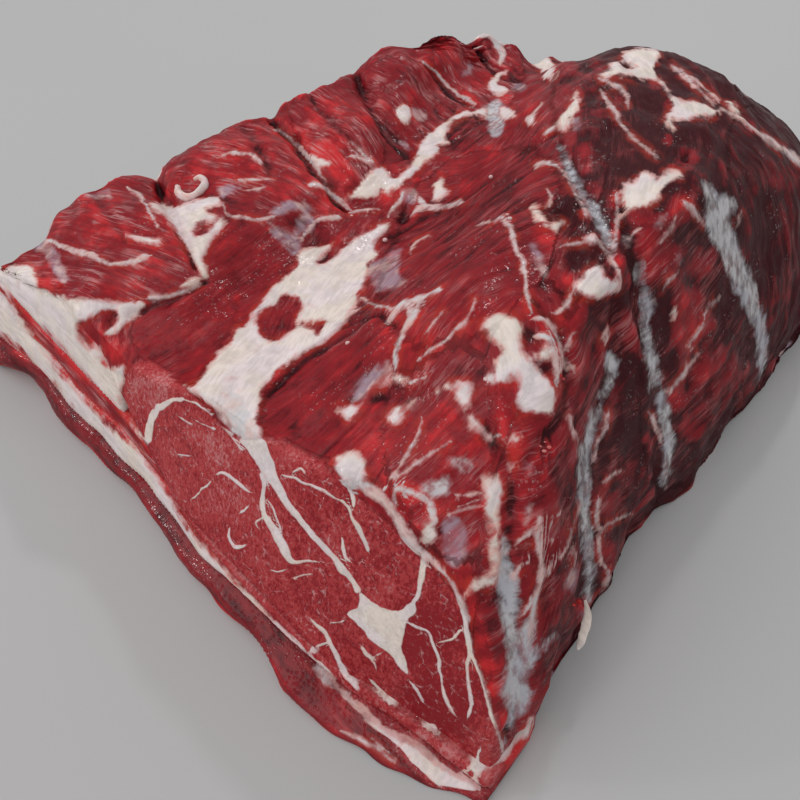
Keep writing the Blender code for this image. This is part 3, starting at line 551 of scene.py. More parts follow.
# Furrows (depth in millimetres, line in pixels) and pits (place, radius in pixels, depth in millimetres)
FURROWS = (
    (3.5, route(12, (156, 184), (172, 215), (186, 244), (197, 266))),
    (2.0, route(12, (206, 281), (172, 300), (145, 309), (128, 318))),
    (5.5, route(10, (271, 123), (286, 133), (301, 148), (316, 166), (330, 178), (336, 198), (347, 209))),
    (5.0, route(10, (423, 62), (437, 75), (450, 88), (462, 98), (475, 105))),
    (3.5, route(13, (352, 70), (372, 100), (392, 138), (408, 156))),
    (2.5, route(8, (474, 48), (488, 60), (498, 72), (512, 80))),
    (1.0, route(12, (560, 145), (568, 168), (576, 185), (587, 200), (599, 218), (608, 240), (614, 270))),
    (2.5, route(12, (620, 200), (626, 235), (634, 258), (638, 281), (641, 320), (644, 350))),
    (2.0, route(14, (652, 374), (656, 399), (660, 424), (662, 457), (658, 490))),
    (1.5, route(14, (618, 300), (620, 350), (604, 395), (592, 425), (580, 459), (580, 487), (584, 541),
     (584, 600))),
    (2.0, route(22, (506, 560), (510, 600), (516, 650), (518, 700), (507, 740))),
    (2.0, route(10, (529, 300), (560, 330), (566, 380), (556, 420), (520, 470))),
    (2.0, route(10, (400, 330), (372, 310), (345, 330), (300, 360), (268, 392))),
    (1.8, route(10, (556, 133), (530, 150), (480, 190), (430, 215), (392, 235))),
    (1.6, route(7, (340, 327), (351, 318), (362, 314))),
    (2.0, route(8, (397, 392), (384, 395), (372, 399))),
    (1.5, route(11, (308, 96), (322, 112), (338, 128), (352, 146), (366, 160))),
    (1.5, route(11, (236, 122), (252, 138), (262, 156), (272, 172))),
    (1.5, route(11, (402, 60), (420, 84), (432, 104), (440, 118))),
    (1.3, route(11, (86, 190), (104, 206), (118, 226), (126, 244))),
    (1.8, route(10, (484, 430), (500, 452), (512, 480), (508, 520), (505, 560))),
)
PITS = (
    (403, 215, 8, 4.0), (333, 182, 6, 3.5), (516, 79, 9, 3.0), (628, 67, 6, 3.0), (295, 428, 6, 1.0),
    (381, 394, 4, 2.5), (348, 412, 3, 1.5), (346, 466, 3, 1.8), (351, 457, 3, 1.8), (568, 226, 12, 2.0),
    (576, 256, 11, 2.0), (607, 130, 12, 2.0), (650, 106, 16, 1.5), (300, 220, 8, 1.5), (687, 156, 5, 2.0),
    (538, 372, 5, 1.0), (530, 335, 9, 2.0),
)

# Nudges of the outline: place, step and reach in pixels
NUDGES = (
    (795, 372, -2, -2, 40), (745, 425, -4, -3, 40), (708, 470, -2, -1, 26), (668, 512, -11, -7, 26),
    (645, 540, -9, -6, 30), (618, 603, -6, -4, 36), (585, 655, -4, -3, 32), (552, 708, 2, 1, 20),
    (400, 42, 2, 8, 26), (432, 36, 0, 4, 14), (750, 96, -4, 6, 40), (122, 174, 1, 7, 26),
    (158, 176, 2, 8, 13), (36, 238, 4, 4, 20), (494, 46, -3, -44, 15), (516, 56, 0, -26, 13),
    (562, 68, 0, -9, 15), (440, 34, 0, 3, 9), (272, 112, 1, 5, 9), (335, 80, 2, 4, 9),
    (4, 396, 4, -12, 36), (60, 430, 3, -3, 30), (150, 530, 5, -4, 45), (240, 640, 6, -4, 45),
    (30, 400, 6, -10, 28), (90, 455, 5, -6, 26), (125, 490, 5, -6, 24), (205, 590, 4, -4, 26),
    (14, 262, 2, 5, 10), (32, 250, 2, 5, 14), (45, 225, 2, 9, 16), (70, 205, 1, 5, 14),
    (103, 190, 0, 6, 11), (162, 175, 1, 8, 10), (178, 156, 0, 5, 10), (282, 108, 0, -8, 9),
    (312, 92, 0, 4, 8), (340, 78, 0, -5, 9), (415, 48, 0, 9, 9), (521, 52, 0, -8, 9), (549, 66, 0, -9, 9),
    (335, 738, -3, 6, 26), (385, 762, -4, 6, 26), (430, 788, -4, 7, 26), (525, 756, 6, 4, 28),
)

# Loose bits: place and half width in pixels, and for the curl its lift in millimetres
CURL = (
    (178, 186, 2.4, 1.0), (178, 193, 3.6, 2.5), (185, 198, 4.1, 3.0), (195, 195, 3.3, 3.0),
    (203, 189, 3.9, 2.6), (206, 181, 3.0, 2.2), (200, 177, 2.8, 1.8), (194, 180, 1.4, 0.8),
)
TAG = (
    (585, 600, 1.5), (587, 608, 2.5), (588, 616, 4.0), (586, 625, 4.6), (583, 635, 4.4), (580, 644, 3.4),
    (578, 650, 1.2),
)
FAT_CRUMBS = (
    (389, 469, 4.5), (389, 474, 4.0), (348, 388, 4.5), (346, 385, 3.0), (404, 418, 3.5), (409, 416, 2.8),
    (415, 414, 2.0), (351, 217, 2.6), (434, 261, 2.6), (385, 240, 2.4), (507, 215, 2.4), (510, 218, 2.2),
    (491, 177, 1.5), (348, 343, 2.2), (531, 120, 3.4), (296, 578, 1.5), (486, 379, 3.0), (490, 383, 3.0),
)
MEAT_CRUMBS = (
    (540, 446, 2.4), (545, 442, 2.0), (549, 447, 1.8), (544, 451, 2.2), (61, 287, 3.0), (104, 330, 4.0),
    (230, 300, 2.6), (451, 180, 3.2), (579, 602, 3.4), (574, 605, 2.6), (560, 376, 2.4), (563, 379, 2.0),
)

# Broad unevenness, the ragged foot and the hidden sides of the layers: lumps in each metre, share and seed
BROAD_LUMPS = ((34.0, 1.0, 1), (82.0, 0.5, 2), (190.0, 0.25, 3))
FOOT_LUMPS = ((48.0, 1.0, 9), (125.0, 0.7, 10))
SIDE_LUMPS = ((48.0, 1.0, 62), (130.0, 0.5, 63))
FINE_LUMPS = ((420.0, 0.12 * MM, 6),)
FAT_LUMPS = ((190.0, 0.35, 5),)
CRUMB_LUMPS = ((420.0, 0.35 * MM, 71), (1100.0, 0.15 * MM, 72))

# The tall side's foot, in metres: where it starts to reach the table, and where the layers tuck in
FOOT_HEIGHTS = (0.030, 0.010)
FOOT_ACROSS = (0.08, 0.12)
FOOT_REST = 1.0 * MM
FOOT_DROP = 0.96
TUCK = 18.0 * MM
TUCK_ACROSS = (0.07, 0.13)
TUCK_ALONG = (-0.15, -0.11)

# Tissues where the photograph doesn't look: least noise, lumps in each metre, two seeds, noise for each mm
HIDDEN_FAT = (0.54, (28.0, 28.0, 28.0), (23, 26), 0.036)
HIDDEN_SILVER = (0.62, (50.0, 50.0, 14.0), (24, 27), 0.050)
HIDDEN_LILAC = (0.64, (46.0, 46.0, 46.0), (25, 28), 0.050)
HIDDEN_DETAIL = 64.0
HIDDEN_SEAMS = (30.0, 16.0, 34.0)

# Tone of the lean away from the patches, and how much darker it gets towards the tall side (partly darker
# muscle, partly painted shade on the side turned from the key light); then the painted shade in pits, the
# painted shade in hollows with painted light on crests, and the painted shade under bundle edges and in
# furrows
PLAIN_TONE = -0.10
TALL_SIDE_DARK_AND_SHADE = -1.6
TALL_SIDE_PX = (520.0, 640.0)
PIT_PAINTED_SHADE = 0.30
HOLLOW_SHADE_AND_LIGHT = 1.0
LAP_PAINTED_SHADE = 0.22
CREASE_PAINTED_SHADE = 0.75

# Fibres away from the named muscles: the way they run, the way they face, their bend and their streaks
PLAIN_ALONG = (0.30, 0.90, -0.30)
PLAIN_FACING = (-0.6, 0.2, 0.7)
PLAIN_BEND = 2.0
PLAIN_STREAKS = 0.45

# Grain of the tissues: lumps of noise in each metre, along the fibres and two ways across them
BUNDLE_GRAIN = (22.0, 330.0, 330.0)
FIBRE_GRAIN = (150.0, 1300.0, 1300.0)
STREAK_GRAIN = (16.0, 260.0, 260.0)
HAIR_GRAIN = (34.0, 800.0, 800.0)
FEATHER_GRAIN = (80.0, 700.0, 700.0)
FAT_GRAIN = (120.0, 700.0, 700.0)
FILM_GRAIN = (50.0, 200.0, 200.0)
SHEEN_GRAIN = (260.0, 260.0, 60.0)

# Film of water: its weight on the meat, on the wetter lowest muscle and on fat, and drops in each metre
FILM = 0.07
WET_FILM = 0.16
FAT_FILM = 0.12
DROPS = 560.0


def length(name, description, value):
    """A length that a user may change."""
    return bpy.props.FloatProperty(name=name, description=description, default=value, unit="LENGTH")


def colour(name, description, value):
    """A colour that a user may change."""
    return bpy.props.FloatVectorProperty(
        name=name, description=description, default=value, subtype="COLOR"
    )


class CHUCKROLL_PG_sizes(bpy.types.PropertyGroup):
    """Sizes that shape the roll's surface."""

    swell: length("Swell", "How far each layer grows so that no gap shows", 0.4 * MM)
    lumps: length("Lumps", "Height of the broad unevenness", 2.0 * MM)
    bundles: length("Fibre bundles", "Height of the bundles of fibres", 0.95 * MM)
    fat_rise: length("Fat rise", "How far fat stands above the meat", 0.7 * MM)
    split_at: length("Split", "Distance along the roll where its mesh is in two pieces", -0.085)


class CHUCKROLL_PG_colours(bpy.types.PropertyGroup):
    """Colours of the tissues."""

    # The darkest and the brightest lean are also the colours that the tone reaches with the painted shade
    # in hollows, creases, pits and on the tall side, and with the painted light on crests
    dark_lean_and_shade: colour("Dark lean", "Darkest muscle", (0.046, 0.0036, 0.0065))
    lean: colour("Lean", "Usual muscle", (0.25, 0.0125, 0.0185))
    bright_lean_and_crest_light: colour("Bright lean", "Brightest muscle", (0.60, 0.026, 0.031))
    cut_lean: colour("Cut lean", "Muscle cut across its fibres", (0.45, 0.049, 0.054))
    thread: colour("Threads", "Pale tissue between the fibres", (0.70, 0.43, 0.43))
    fat: colour("Fat", "Clean fat", (0.83, 0.725, 0.70))
    stained_fat: colour("Stained fat", "Fat stained by the meat", (0.70, 0.34, 0.32))
    silver: colour("Silverskin", "Blue-grey skin on the tall side", (0.63, 0.615, 0.63))
    lilac: colour("Membrane", "Thin membrane over the meat", (0.40, 0.29, 0.35))
    veil: colour("Veil", "Pinkish white film of fat over the meat", (0.70, 0.50, 0.48))
    blush: colour("Blush", "Orange red of lean beside fat", (0.56, 0.044, 0.022))


class CHUCKROLL_PG_view(bpy.types.PropertyGroup):
    """Camera and light."""

    place: bpy.props.FloatVectorProperty(
        name="Camera", description="Place of the camera",
        subtype="TRANSLATION", default=(0.17518, -0.23846, 0.280),
    )
    turn: bpy.props.FloatVectorProperty(
        name="Turn", description="Turn of the camera", subtype="EULER",
        default=(math.radians(40.0), 0.0, math.radians(40.0)),
    )
    angle: bpy.props.FloatProperty(
        name="Angle", description="Angle of view", default=math.radians(55.0), subtype="ANGLE"
    )
    floor: colour("Floor", "Colour of the floor", (0.50, 0.50, 0.50))
    sky: bpy.props.FloatProperty(name="Sky", description="Strength of the light all round", default=0.52)
    key: bpy.props.FloatProperty(name="Key", description="Strength of the large soft light", default=0.95)
    spark: bpy.props.FloatProperty(
        name="Spark", description="Power of the small lights", default=1.4, unit="POWER"
    )


def ease(start, end, value):
    """0 at start and 1 at end, with a smooth step between them."""
    share = np.clip((value - start) / (end - start), 0.0, 1.0)
    return share * share * (3.0 - 2.0 * share)


def lattice(cell, seed):
    """A repeatable number from -1 to 1 for each corner of a lattice."""
    first, second, third = (cell * np.array(LATTICE_STEPS)).T
    mixed = first ^ second ^ third ^ (seed * SEED_STEP + 97)
    mixed = (mixed ^ (mixed >> 13)) * MIXER
    mixed = mixed ^ (mixed >> 16)
    return (mixed & 0xFFFF) / 32767.5 - 1.0


def noise(points, seed):
    """Smooth noise from -1 to 1 with lumps about one unit apart."""
    cell = np.floor(points)
    share = points - cell
    share = share * share * (3.0 - 2.0 * share)
    cell = cell.astype(np.int64)
    total = np.zeros(len(points))
    for corner in itertools.product((0, 1), repeat=3):
        weight = np.where(corner, share, 1.0 - share).prod(axis=1)
        total += weight * lattice(cell + np.array(corner), seed)
    return total


def camera_axes():
    """The camera's right, up and backward directions as the columns of a matrix."""
    return np.array(Euler(bpy.context.scene.chuck_roll_view.turn).to_matrix())


def picture_scale():
    return PICTURE / 2.0 / math.tan(bpy.context.scene.chuck_roll_view.angle / 2.0)


def picture_places(points):
    """Pixel of each point in the photograph's frame, and its depth in front of the camera."""
    turned = (points - np.array(bpy.context.scene.chuck_roll_view.place)) @ camera_axes()
    depth = -turned[:, 2]
    scale = picture_scale() / depth
    centre = PICTURE / 2.0
    return np.stack([centre + turned[:, 0] * scale, centre - turned[:, 1] * scale], axis=1), depth


def cad_tree():
    """All the solids of the frame as one tree for ray casts."""
    corners = []
    faces = []
    for node in frame["nodes"].values():
        start = len(corners)
        corners += [vertex.co.copy() for vertex in node.data.vertices]
        faces += [[start + corner for corner in face.vertices] for face in node.data.polygons]
    return BVHTree.FromPolygons(corners, faces)


def on_surface(tree, pixel):
    """The point of the roll under a pixel, and the way its surface faces there."""
    view = bpy.context.scene.chuck_roll_view
    centre = PICTURE / 2.0
    ray = camera_axes() @ np.array([pixel[0] - centre, centre - pixel[1], -picture_scale()])
    hit = tree.ray_cast(Vector(view.place), Vector(ray).normalized())
    if hit[0] is None:
        raise RuntimeError(f"pixel {pixel} misses the roll")
    return np.array(hit[0]), np.array(hit[1])


def rounded(points, closed, turns=2):
    """A line or outline with its corners cut off, so that it bends smoothly."""
    line = np.array(points, float)
    for _ in range(turns):
        after = np.roll(line, -1, axis=0) if closed else line[1:]
        before = line if closed else line[:-1]
        cut = np.stack([before * 0.75 + after * 0.25, before * 0.25 + after * 0.75], axis=1)
        middle = cut.reshape(-1, line.shape[1])
        line = middle if closed else np.concatenate([line[:1], middle, line[-1:]])
    return line


def segment_distance(pixels, start, end):
    """Distance to a segment, the side that each pixel is on, and the nearest place's share along it."""
    step = end - start
    offset = pixels - start
    share = np.clip(offset @ step / max(step @ step, 1e-9), 0.0, 1.0)
    gap = np.hypot(*(offset - share[:, None] * step).T)
    side = np.sign(step[0] * offset[:, 1] - step[1] * offset[:, 0])
    return gap, side, share


def spot_distance(pixels, x, y):
    return np.hypot(*(pixels - np.array([x, y])).T)


def near(pixels, line, margin):
    """Which pixels are within a margin of a line's box."""
    low = line[:, :2].min(axis=0) - margin
    high = line[:, :2].max(axis=0) + margin
    return np.nonzero(((pixels > low) & (pixels < high)).all(axis=1))[0]


def route_distance(pixels, line):
    """Distance to a route's middle, signed by side, and its half width there. Far pixels stay far."""
    gap = np.full(len(pixels), FAR_PX)
    side = np.ones(len(pixels))
    half = np.full(len(pixels), 1.0)
    line = rounded(line, False)
    close = near(pixels, line, FAR_PX)
    for start, end in zip(line, line[1:]):
        some, which, share = segment_distance(pixels[close], start[:2], end[:2])
        better = some < gap[close]
        chosen = close[better]
        gap[chosen] = some[better]
        side[chosen] = which[better]
        half[chosen] = (start[2] + share[better] * (end[2] - start[2])) / 2.0
    return gap, side, half


def patch_distance(pixels, outline):
    """Signed distance to a closed outline, less than 0 inside it."""
    line = rounded(outline, True)
    gap = np.full(len(pixels), FAR_PX)
    inside = np.zeros(len(pixels), bool)
    close = near(pixels, line, FAR_PX)
    spot = pixels[close]
    for start, end in zip(line, np.roll(line, -1, axis=0)):
        some = segment_distance(spot, start, end)[0]
        gap[close] = np.minimum(gap[close], some)
        crosses = (start[1] > spot[:, 1]) != (end[1] > spot[:, 1])
        rise = end[1] - start[1] if end[1] != start[1] else 1e-9
        left = spot[:, 0] < start[0] + (spot[:, 1] - start[1]) * (end[0] - start[0]) / rise
        inside[close] ^= crosses & left
    return np.where(inside, -gap, gap)


def nearest_of(distances):
    return np.min(np.stack(distances), axis=0)


class Surface:
    """A mesh's points with their places in the picture and everything painted on them."""

    def __init__(self, mesh, tree):
        self.mesh = mesh
        self.points = np.empty((len(mesh.vertices), 3))
        mesh.vertices.foreach_get("co", self.points.ravel())
        self.normals = self.vertex_normals()
        self.place()
        self.see(tree)

    def vertex_normals(self):
        normals = np.empty((len(self.mesh.vertices), 3))
        self.mesh.vertex_normals.foreach_get("vector", normals.ravel())
        return normals

    def edges(self):
        ends = np.empty((len(self.mesh.edges), 2), np.int64)
        self.mesh.edges.foreach_get("vertices", ends.ravel())
        return ends

    def place(self):
        self.pixels, self.depth = picture_places(self.points)
        self.mm = self.depth / picture_scale() / MM

    def smoothed(self, values, turns):
        """Values averaged with their neighbours on the mesh a few times."""
        ends = self.edges()
        count = np.bincount(ends.ravel(), minlength=len(values))
        for _ in range(turns):
            total = np.bincount(ends[:, 0], values[ends[:, 1]], len(values))
            total += np.bincount(ends[:, 1], values[ends[:, 0]], len(values))
            values = 0.5 * values + 0.5 * total / np.maximum(count, 1)
        return values

    def see(self, tree):
        """How well the camera sees each point, from 0 to 1."""
        eye = np.array(bpy.context.scene.chuck_roll_view.place)
        ray = eye - self.points
        ray /= np.linalg.norm(ray, axis=1)[:, None]
        facing = (self.normals * ray).sum(axis=1)
        seen = ease(-0.02, 0.12, facing)
        start = self.points + self.normals * 3.0 * MM
        for index in np.nonzero(seen > 0.0)[0]:
            if tree.ray_cast(Vector(start[index]), Vector(ray[index]))[0] is not None:
                seen[index] = 0.0
        in_view = ease(-6.0, 6.0, self.pixels.min(axis=1)) * ease(806.0, 794.0, self.pixels.max(axis=1))
        self.seen = self.smoothed(seen, 6) * in_view

    def move(self, distance):
        """Moves the points along the normals and works out everything that hangs on their places."""
        low, high = np.array(CAD_BOX[0]), np.array(CAD_BOX[1])
        self.points = np.clip(self.points + self.normals * distance[:, None], low, high)
        self.mesh.vertices.foreach_set("co", self.points.ravel())
        self.mesh.update()
        self.normals = self.vertex_normals()
        self.place()

    def nudge(self):
        """Shifts the points across the picture, so that the outline fits the photograph."""
        step = np.zeros((len(self.points), 2))
        for x, y, right, down, reach in NUDGES:
            share = np.exp(-((self.pixels - np.array([x, y])) ** 2).sum(axis=1) / reach**2)
            step += share[:, None] * np.array([right, -down])
        axes = camera_axes()
        shift = (step[:, :1] * axes[:, 0] + step[:, 1:] * axes[:, 1]) * self.mm[:, None] * MM
        self.points = self.points + shift
        self.move(np.zeros(len(self.points)))

    def settle(self, main):
        """Lets the tall side's foot rest on the table, and keeps the layers under it out of sight."""
        points = self.points.copy()
        if main:
            low = ease(*FOOT_HEIGHTS, points[:, 2]) * ease(*FOOT_ACROSS, points[:, 0])
            points[:, 2] -= low * FOOT_DROP * (points[:, 2] - FOOT_REST)
        else:
            points[:, 0] -= TUCK * ease(*TUCK_ACROSS, points[:, 0]) * ease(*TUCK_ALONG, points[:, 1])
        self.points = points
        self.move(np.zeros(len(points)))

    def write(self, name, *columns):
        """Stores values on the mesh, as one number or a vector of three for each point."""
        kind = "FLOAT" if len(columns) == 1 else "FLOAT_VECTOR"
        made = self.mesh.attributes.new(name, kind, "POINT")
        values = np.column_stack(columns).astype(np.float32)
        made.data.foreach_set("value" if kind == "FLOAT" else "vector", values.ravel())


def tissue_distances(surface, cut):
    """Distances in millimetres to fat, silverskin and membranes, and the nearest thread of fat."""
    wobble = np.stack([noise(surface.points * 260.0, seed) for seed in (11, 12)], axis=1)
    pixels = surface.pixels + wobble * 1.4
    routes = [*CUT_SEAMS, *CUT_VEINS, *BAND_END, *TOP_SEAMS]
    gap = np.full(len(pixels), FAR_PX)
    side = np.ones(len(pixels))
    half = np.ones(len(pixels))
    for line in routes:
        some, which, width = route_distance(pixels, line)
        better = some - width < gap - half
        gap = np.where(better, some, gap)
        side = np.where(better, which, side)
        half = np.where(better, width, half)
    fat = gap - half * (0.45 + 0.55 * cut)
    for outline in (*CUT_PATCHES, WEDGE, (*BAND_TOP, *BAND_FOOT), *TOP_PATCHES):
        fat = np.minimum(fat, patch_distance(pixels, outline))
    for outline in LEAN_ISLANDS:
        fat = np.maximum(fat, -patch_distance(pixels, outline))
    silver = nearest_of(
        [patch_distance(pixels, outline) for outline in SILVER]
        + [np.subtract(*route_distance(pixels, line)[::2]) for line in SILVER_LINES]
    )
    lilac = nearest_of(
        [patch_distance(pixels, outline) for outline in LILAC]
        + [np.subtract(*route_distance(pixels, line)[::2]) for line in LILAC_LINES]
    )
    mm = surface.mm
    return fat * mm, silver * mm, lilac * mm, (side * gap * mm, gap * mm, half * mm)


def hidden_patch(points, least, scales, seeds, slope):
    """Distance in millimetres to the patches where noise rises above a least value."""
    broad = noise(points * np.array(scales), seeds[0])
    return (least - broad - 0.2 * noise(points * HIDDEN_DETAIL, seeds[1])) / slope


def hidden_distances(surface):
    """The same tissues where the photograph doesn't look: seams, patches and skin of the same kind."""
    points = surface.points
    seam = np.abs(noise(points * np.array(HIDDEN_SEAMS), 21)) / 0.034 - 0.6
    seam = seam + 3.0 * ease(-0.1, 0.3, noise(points * 14.0, 22))
    fat = np.minimum(seam, hidden_patch(points, *HIDDEN_FAT))
    return fat, hidden_patch(points, *HIDDEN_SILVER), hidden_patch(points, *HIDDEN_LILAC)


def tones(surface):
    """Tone of the lean from the broad patches, fading into an even tone with noise where none is near;
    darker towards the tall side, partly as darker muscle and partly as painted shade, and with painted
    shade in the pits.
    """
    weight = np.full(len(surface.points), 0.2)
    # Darker towards the tall side: partly darker muscle, partly painted shade where that side faces away
    # from the key light
    total = (PLAIN_TONE + TALL_SIDE_DARK_AND_SHADE * ease(*TALL_SIDE_PX, surface.pixels[:, 0])) * weight
    for x, y, radius, tone in TONES:
        gap = spot_distance(surface.pixels, x, y)
        near_by = np.exp(-2.1 * (gap / radius) ** 2) * surface.seen
        total += near_by * tone
        weight += near_by
    tone = total / weight
    tone += 0.30 * noise(surface.points * 60.0, 31) + 0.18 * noise(surface.points * 150.0, 32)
    # Painted shade in the pits
    for x, y, radius, _ in PITS:
        gap = spot_distance(surface.pixels, x, y)
        tone -= PIT_PAINTED_SHADE * np.exp(-((gap / radius) ** 2)) * surface.seen
    return tone


def unit(vector):
    return vector / np.linalg.norm(vector)


def fibre_coordinates(surface, tree, regions):
    """Coordinates in metres along and across the fibres, the pale streaks, and how flat the fibres lie."""
    points = surface.points
    wobble = np.stack([noise(points * 120.0, seed) for seed in (41, 42)], axis=1)
    pixels = surface.pixels + wobble * 4.0
    grain = np.empty_like(points)
    streaks = np.full(len(points), 0.4)
    flat = np.ones(len(points))
    chosen = np.full(len(points), -1)
    for index, region in enumerate(regions):
        inside = (patch_distance(pixels, region[0]) < 0.0) & (surface.seen > 0.3) if region[0] else True
        chosen = np.where(inside, index, chosen)
    for index in range(-1, len(regions)):
        here = chosen == index
        if not here.any():
            continue
        if index < 0:
            along, facing, origin = unit(np.array(PLAIN_ALONG)), np.array(PLAIN_FACING), np.zeros(3)
            bend, amount = PLAIN_BEND, PLAIN_STREAKS
        else:
            _, start, end, bend, amount = regions[index]
            origin, facing = on_surface(tree, start)
            along = unit(on_surface(tree, end)[0] - origin)
        across = unit(np.cross(facing, along))
        third = np.cross(along, across)
        local = points[here] - origin
        run = local @ along
        grain[here, 0] = run
        grain[here, 1] = local @ across + bend * run**2
        grain[here, 2] = 0.25 * (local @ third)
        flat[here] = ease(0.80, 0.50, np.abs(surface.normals[here] @ along))
        streaks[here] = amount * flat[here]
    sway = 0.0011 * noise(points * 60.0, 43) + 0.0002 * noise(points * 160.0, 44)
    grain[:, 1] += sway
    grain[:, 2] += sway
    return grain, streaks, flat


def cut_mask(surface):
    return ease(0.8, -0.8, patch_distance(surface.pixels, CUT_OUTLINE) * surface.mm) * surface.seen


def furrow_depth(surface):
    """Depth in metres of the furrows and pits, and how near each point is to the bottom of a furrow."""
    depth = np.zeros(len(surface.points))
    crease = np.zeros(len(surface.points))
    wobble = np.stack([noise(surface.points * 150.0, seed) for seed in (51, 52)], axis=1)
    pixels = surface.pixels + 1.5 * wobble
    for deep, line in FURROWS:
        gap, _, half = route_distance(pixels, line)
        depth = np.maximum(depth, deep * np.exp(-((gap / half) ** 2)))
        crease = np.maximum(crease, min(deep / 4.0, 1.0) * np.exp(-((gap / (0.4 * half)) ** 2)))
    for x, y, radius, deep in PITS:
        gap = spot_distance(pixels, x, y)
        depth = np.maximum(depth, deep * np.exp(-((gap / radius) ** 2)))
    return depth * MM * surface.seen, crease * surface.seen


def overlapping_bundles(grain):
    """Height of bundles that lie over each other like roof tiles, and where one bundle's edge ends."""
    turn = grain[:, 1] * 105.0 + 0.9 * noise(grain * np.array([24.0, 60.0, 60.0]), 7)
    share = turn - np.floor(turn)
    drop = ease(0.80, 1.0, share)
    strength = ease(-0.35, 0.35, noise(grain * np.array([18.0, 34.0, 34.0]), 8))
    small = noise(grain * np.array([40.0, 330.0, 330.0]), 4)
    lap = drop * (1.0 - ease(0.96, 1.0, share)) * strength
    return (share - drop - 0.25) * strength + 0.42 * small, lap


def hollowness(surface):
    """How far each point lies below its neighbourhood, in millimetres."""
    even = np.stack([surface.smoothed(surface.points[:, axis], 10) for axis in range(3)], axis=1)
    return ((even - surface.points) * surface.normals).sum(axis=1) / MM


def lumps(points, table):
    """Noises of a few sizes added up."""
    return sum(share * noise(points * scale, seed) for scale, share, seed in table)


def rough_shape(surface, main):
    """Gives a solid its broad lumps and furrows, and says where the furrows' bottoms are."""
    sizes = bpy.context.scene.chuck_roll_sizes
    points = surface.points
    if not main:
        side = (1.0 - surface.seen) * (1.0 - np.abs(surface.normals[:, 2]))
        surface.move(sizes.swell + sizes.lumps * side * lumps(points, SIDE_LUMPS))
        return 0.0
    low = ease(0.055, 0.004, points[:, 2]) * ease(0.3, 0.8, surface.normals[:, 0])
    broad = lumps(points, BROAD_LUMPS) + 0.9 * low * (lumps(points, FOOT_LUMPS) - 0.3)
    depth, crease = furrow_depth(surface)
    surface.move(sizes.swell - depth + sizes.lumps * broad * (1.0 - 0.8 * cut_mask(surface)))
    return crease


def paint(surface, tree, node):
    """Shapes the relief of one solid and writes its tissues."""
    sizes = bpy.context.scene.chuck_roll_sizes
    main = node == "main_muscles"
    surface.nudge()
    surface.settle(main)
    points = surface.points
    crease = rough_shape(surface, main)
    cut = cut_mask(surface)
    fat, silver, lilac, thread = tissue_distances(surface, cut)
    seen = surface.seen
    if node == "under_muscle":
        across = surface.pixels[:, 0]
        bare = 3.0 * ease(LOOSE_END_PX, LOOSE_END_PX - 30.0, across)
        fat = np.maximum(fat, bare - FAR_MM * (across > LOOSE_END_PX))
    hidden_fat, hidden_silver, hidden_lilac = hidden_distances(surface)
    if not main:
        hidden_fat = LAYER_FAT[node] + 2.5 * noise(points * 50.0, 61)
        hidden_silver = np.full(len(points), FAR_MM)
    fat, silver, lilac = (
        seen * np.clip(shown, -FAR_MM, FAR_MM) + (1.0 - seen) * hidden
        for shown, hidden in ((fat, hidden_fat), (silver, hidden_silver), (lilac, hidden_lilac))
    )
    grain, streaks, flat = fibre_coordinates(surface, tree, LAYER_FIBRES.get(node, FIBRES))
    on_cut = cut > 0.5
    grain[on_cut] = points[on_cut][:, [1, 0, 2]]
    bundles, lap = overlapping_bundles(grain)
    bundles, lap = bundles * flat, lap * flat
    raised = ease(0.9, -0.9, fat) * (1.0 + lumps(points, FAT_LUMPS))
    skin = np.maximum(0.8 * ease(1.0, -1.0, fat), ease(1.8, -0.2, silver))
    calm = 1.0 - 0.85 * cut
    relief = sizes.bundles * bundles * (1.0 - 0.92 * skin) * calm * (1.0 if main else 0.35)
    relief += sizes.fat_rise * raised * (1.0 - 0.9 * cut) + lumps(points, FINE_LUMPS)
    surface.move(relief)
    hollow = hollowness(surface)
    # Painted shade darkens the hollows, the edges where one bundle laps over another and the bottoms of
    # furrows; on crests, where the hollowness is below 0, it paints light instead
    painted_shade_and_light = HOLLOW_SHADE_AND_LIGHT * hollow + LAP_PAINTED_SHADE * lap + CREASE_PAINTED_SHADE * crease
    tone = tones(surface) - painted_shade_and_light * (1.0 - 0.8 * cut)
    surface.write("layers", fat, silver, lilac)
    surface.write("thread", *(seen * value + (1.0 - seen) * FAR_MM for value in thread))
    surface.write("shade", tone, cut, streaks)
    surface.write("grain", *grain.T)
    surface.write("wet", 0.12 + 0.88 * ease(-0.1, 0.55, surface.normals[:, 2]))


def finer(node, levels):
    """A copy of a solid as smooth quads, subdivided a few times."""
    form = bmesh.new()
    form.from_mesh(frame["nodes"][node].data)
    bmesh.ops.remove_doubles(form, verts=form.verts[:], dist=0.02 * MM)
    limits = {"angle_face_threshold": math.radians(60.0), "angle_shape_threshold": math.radians(60.0)}
    bmesh.ops.join_triangles(form, faces=form.faces[:], **limits)
    crease = form.edges.layers.float.new("crease_edge")
    for edge in form.edges:
        if len(edge.link_faces) == 2 and edge.calc_face_angle() > math.radians(50.0):
            edge[crease] = 0.75
    mesh = bpy.data.meshes.new(node + "_finer")
    form.to_mesh(mesh)
    form.free()
    thing = bpy.data.objects.new(node + "_finer", mesh)
    bpy.context.scene.collection.objects.link(thing)
    subdivide = thing.modifiers.new("Smooth", "SUBSURF")
    subdivide.levels = levels
    subdivide.render_levels = levels
    depsgraph = bpy.context.evaluated_depsgraph_get()
    fine = bpy.data.meshes.new_from_object(thing.evaluated_get(depsgraph))
    bpy.data.objects.remove(thing)
    return fine


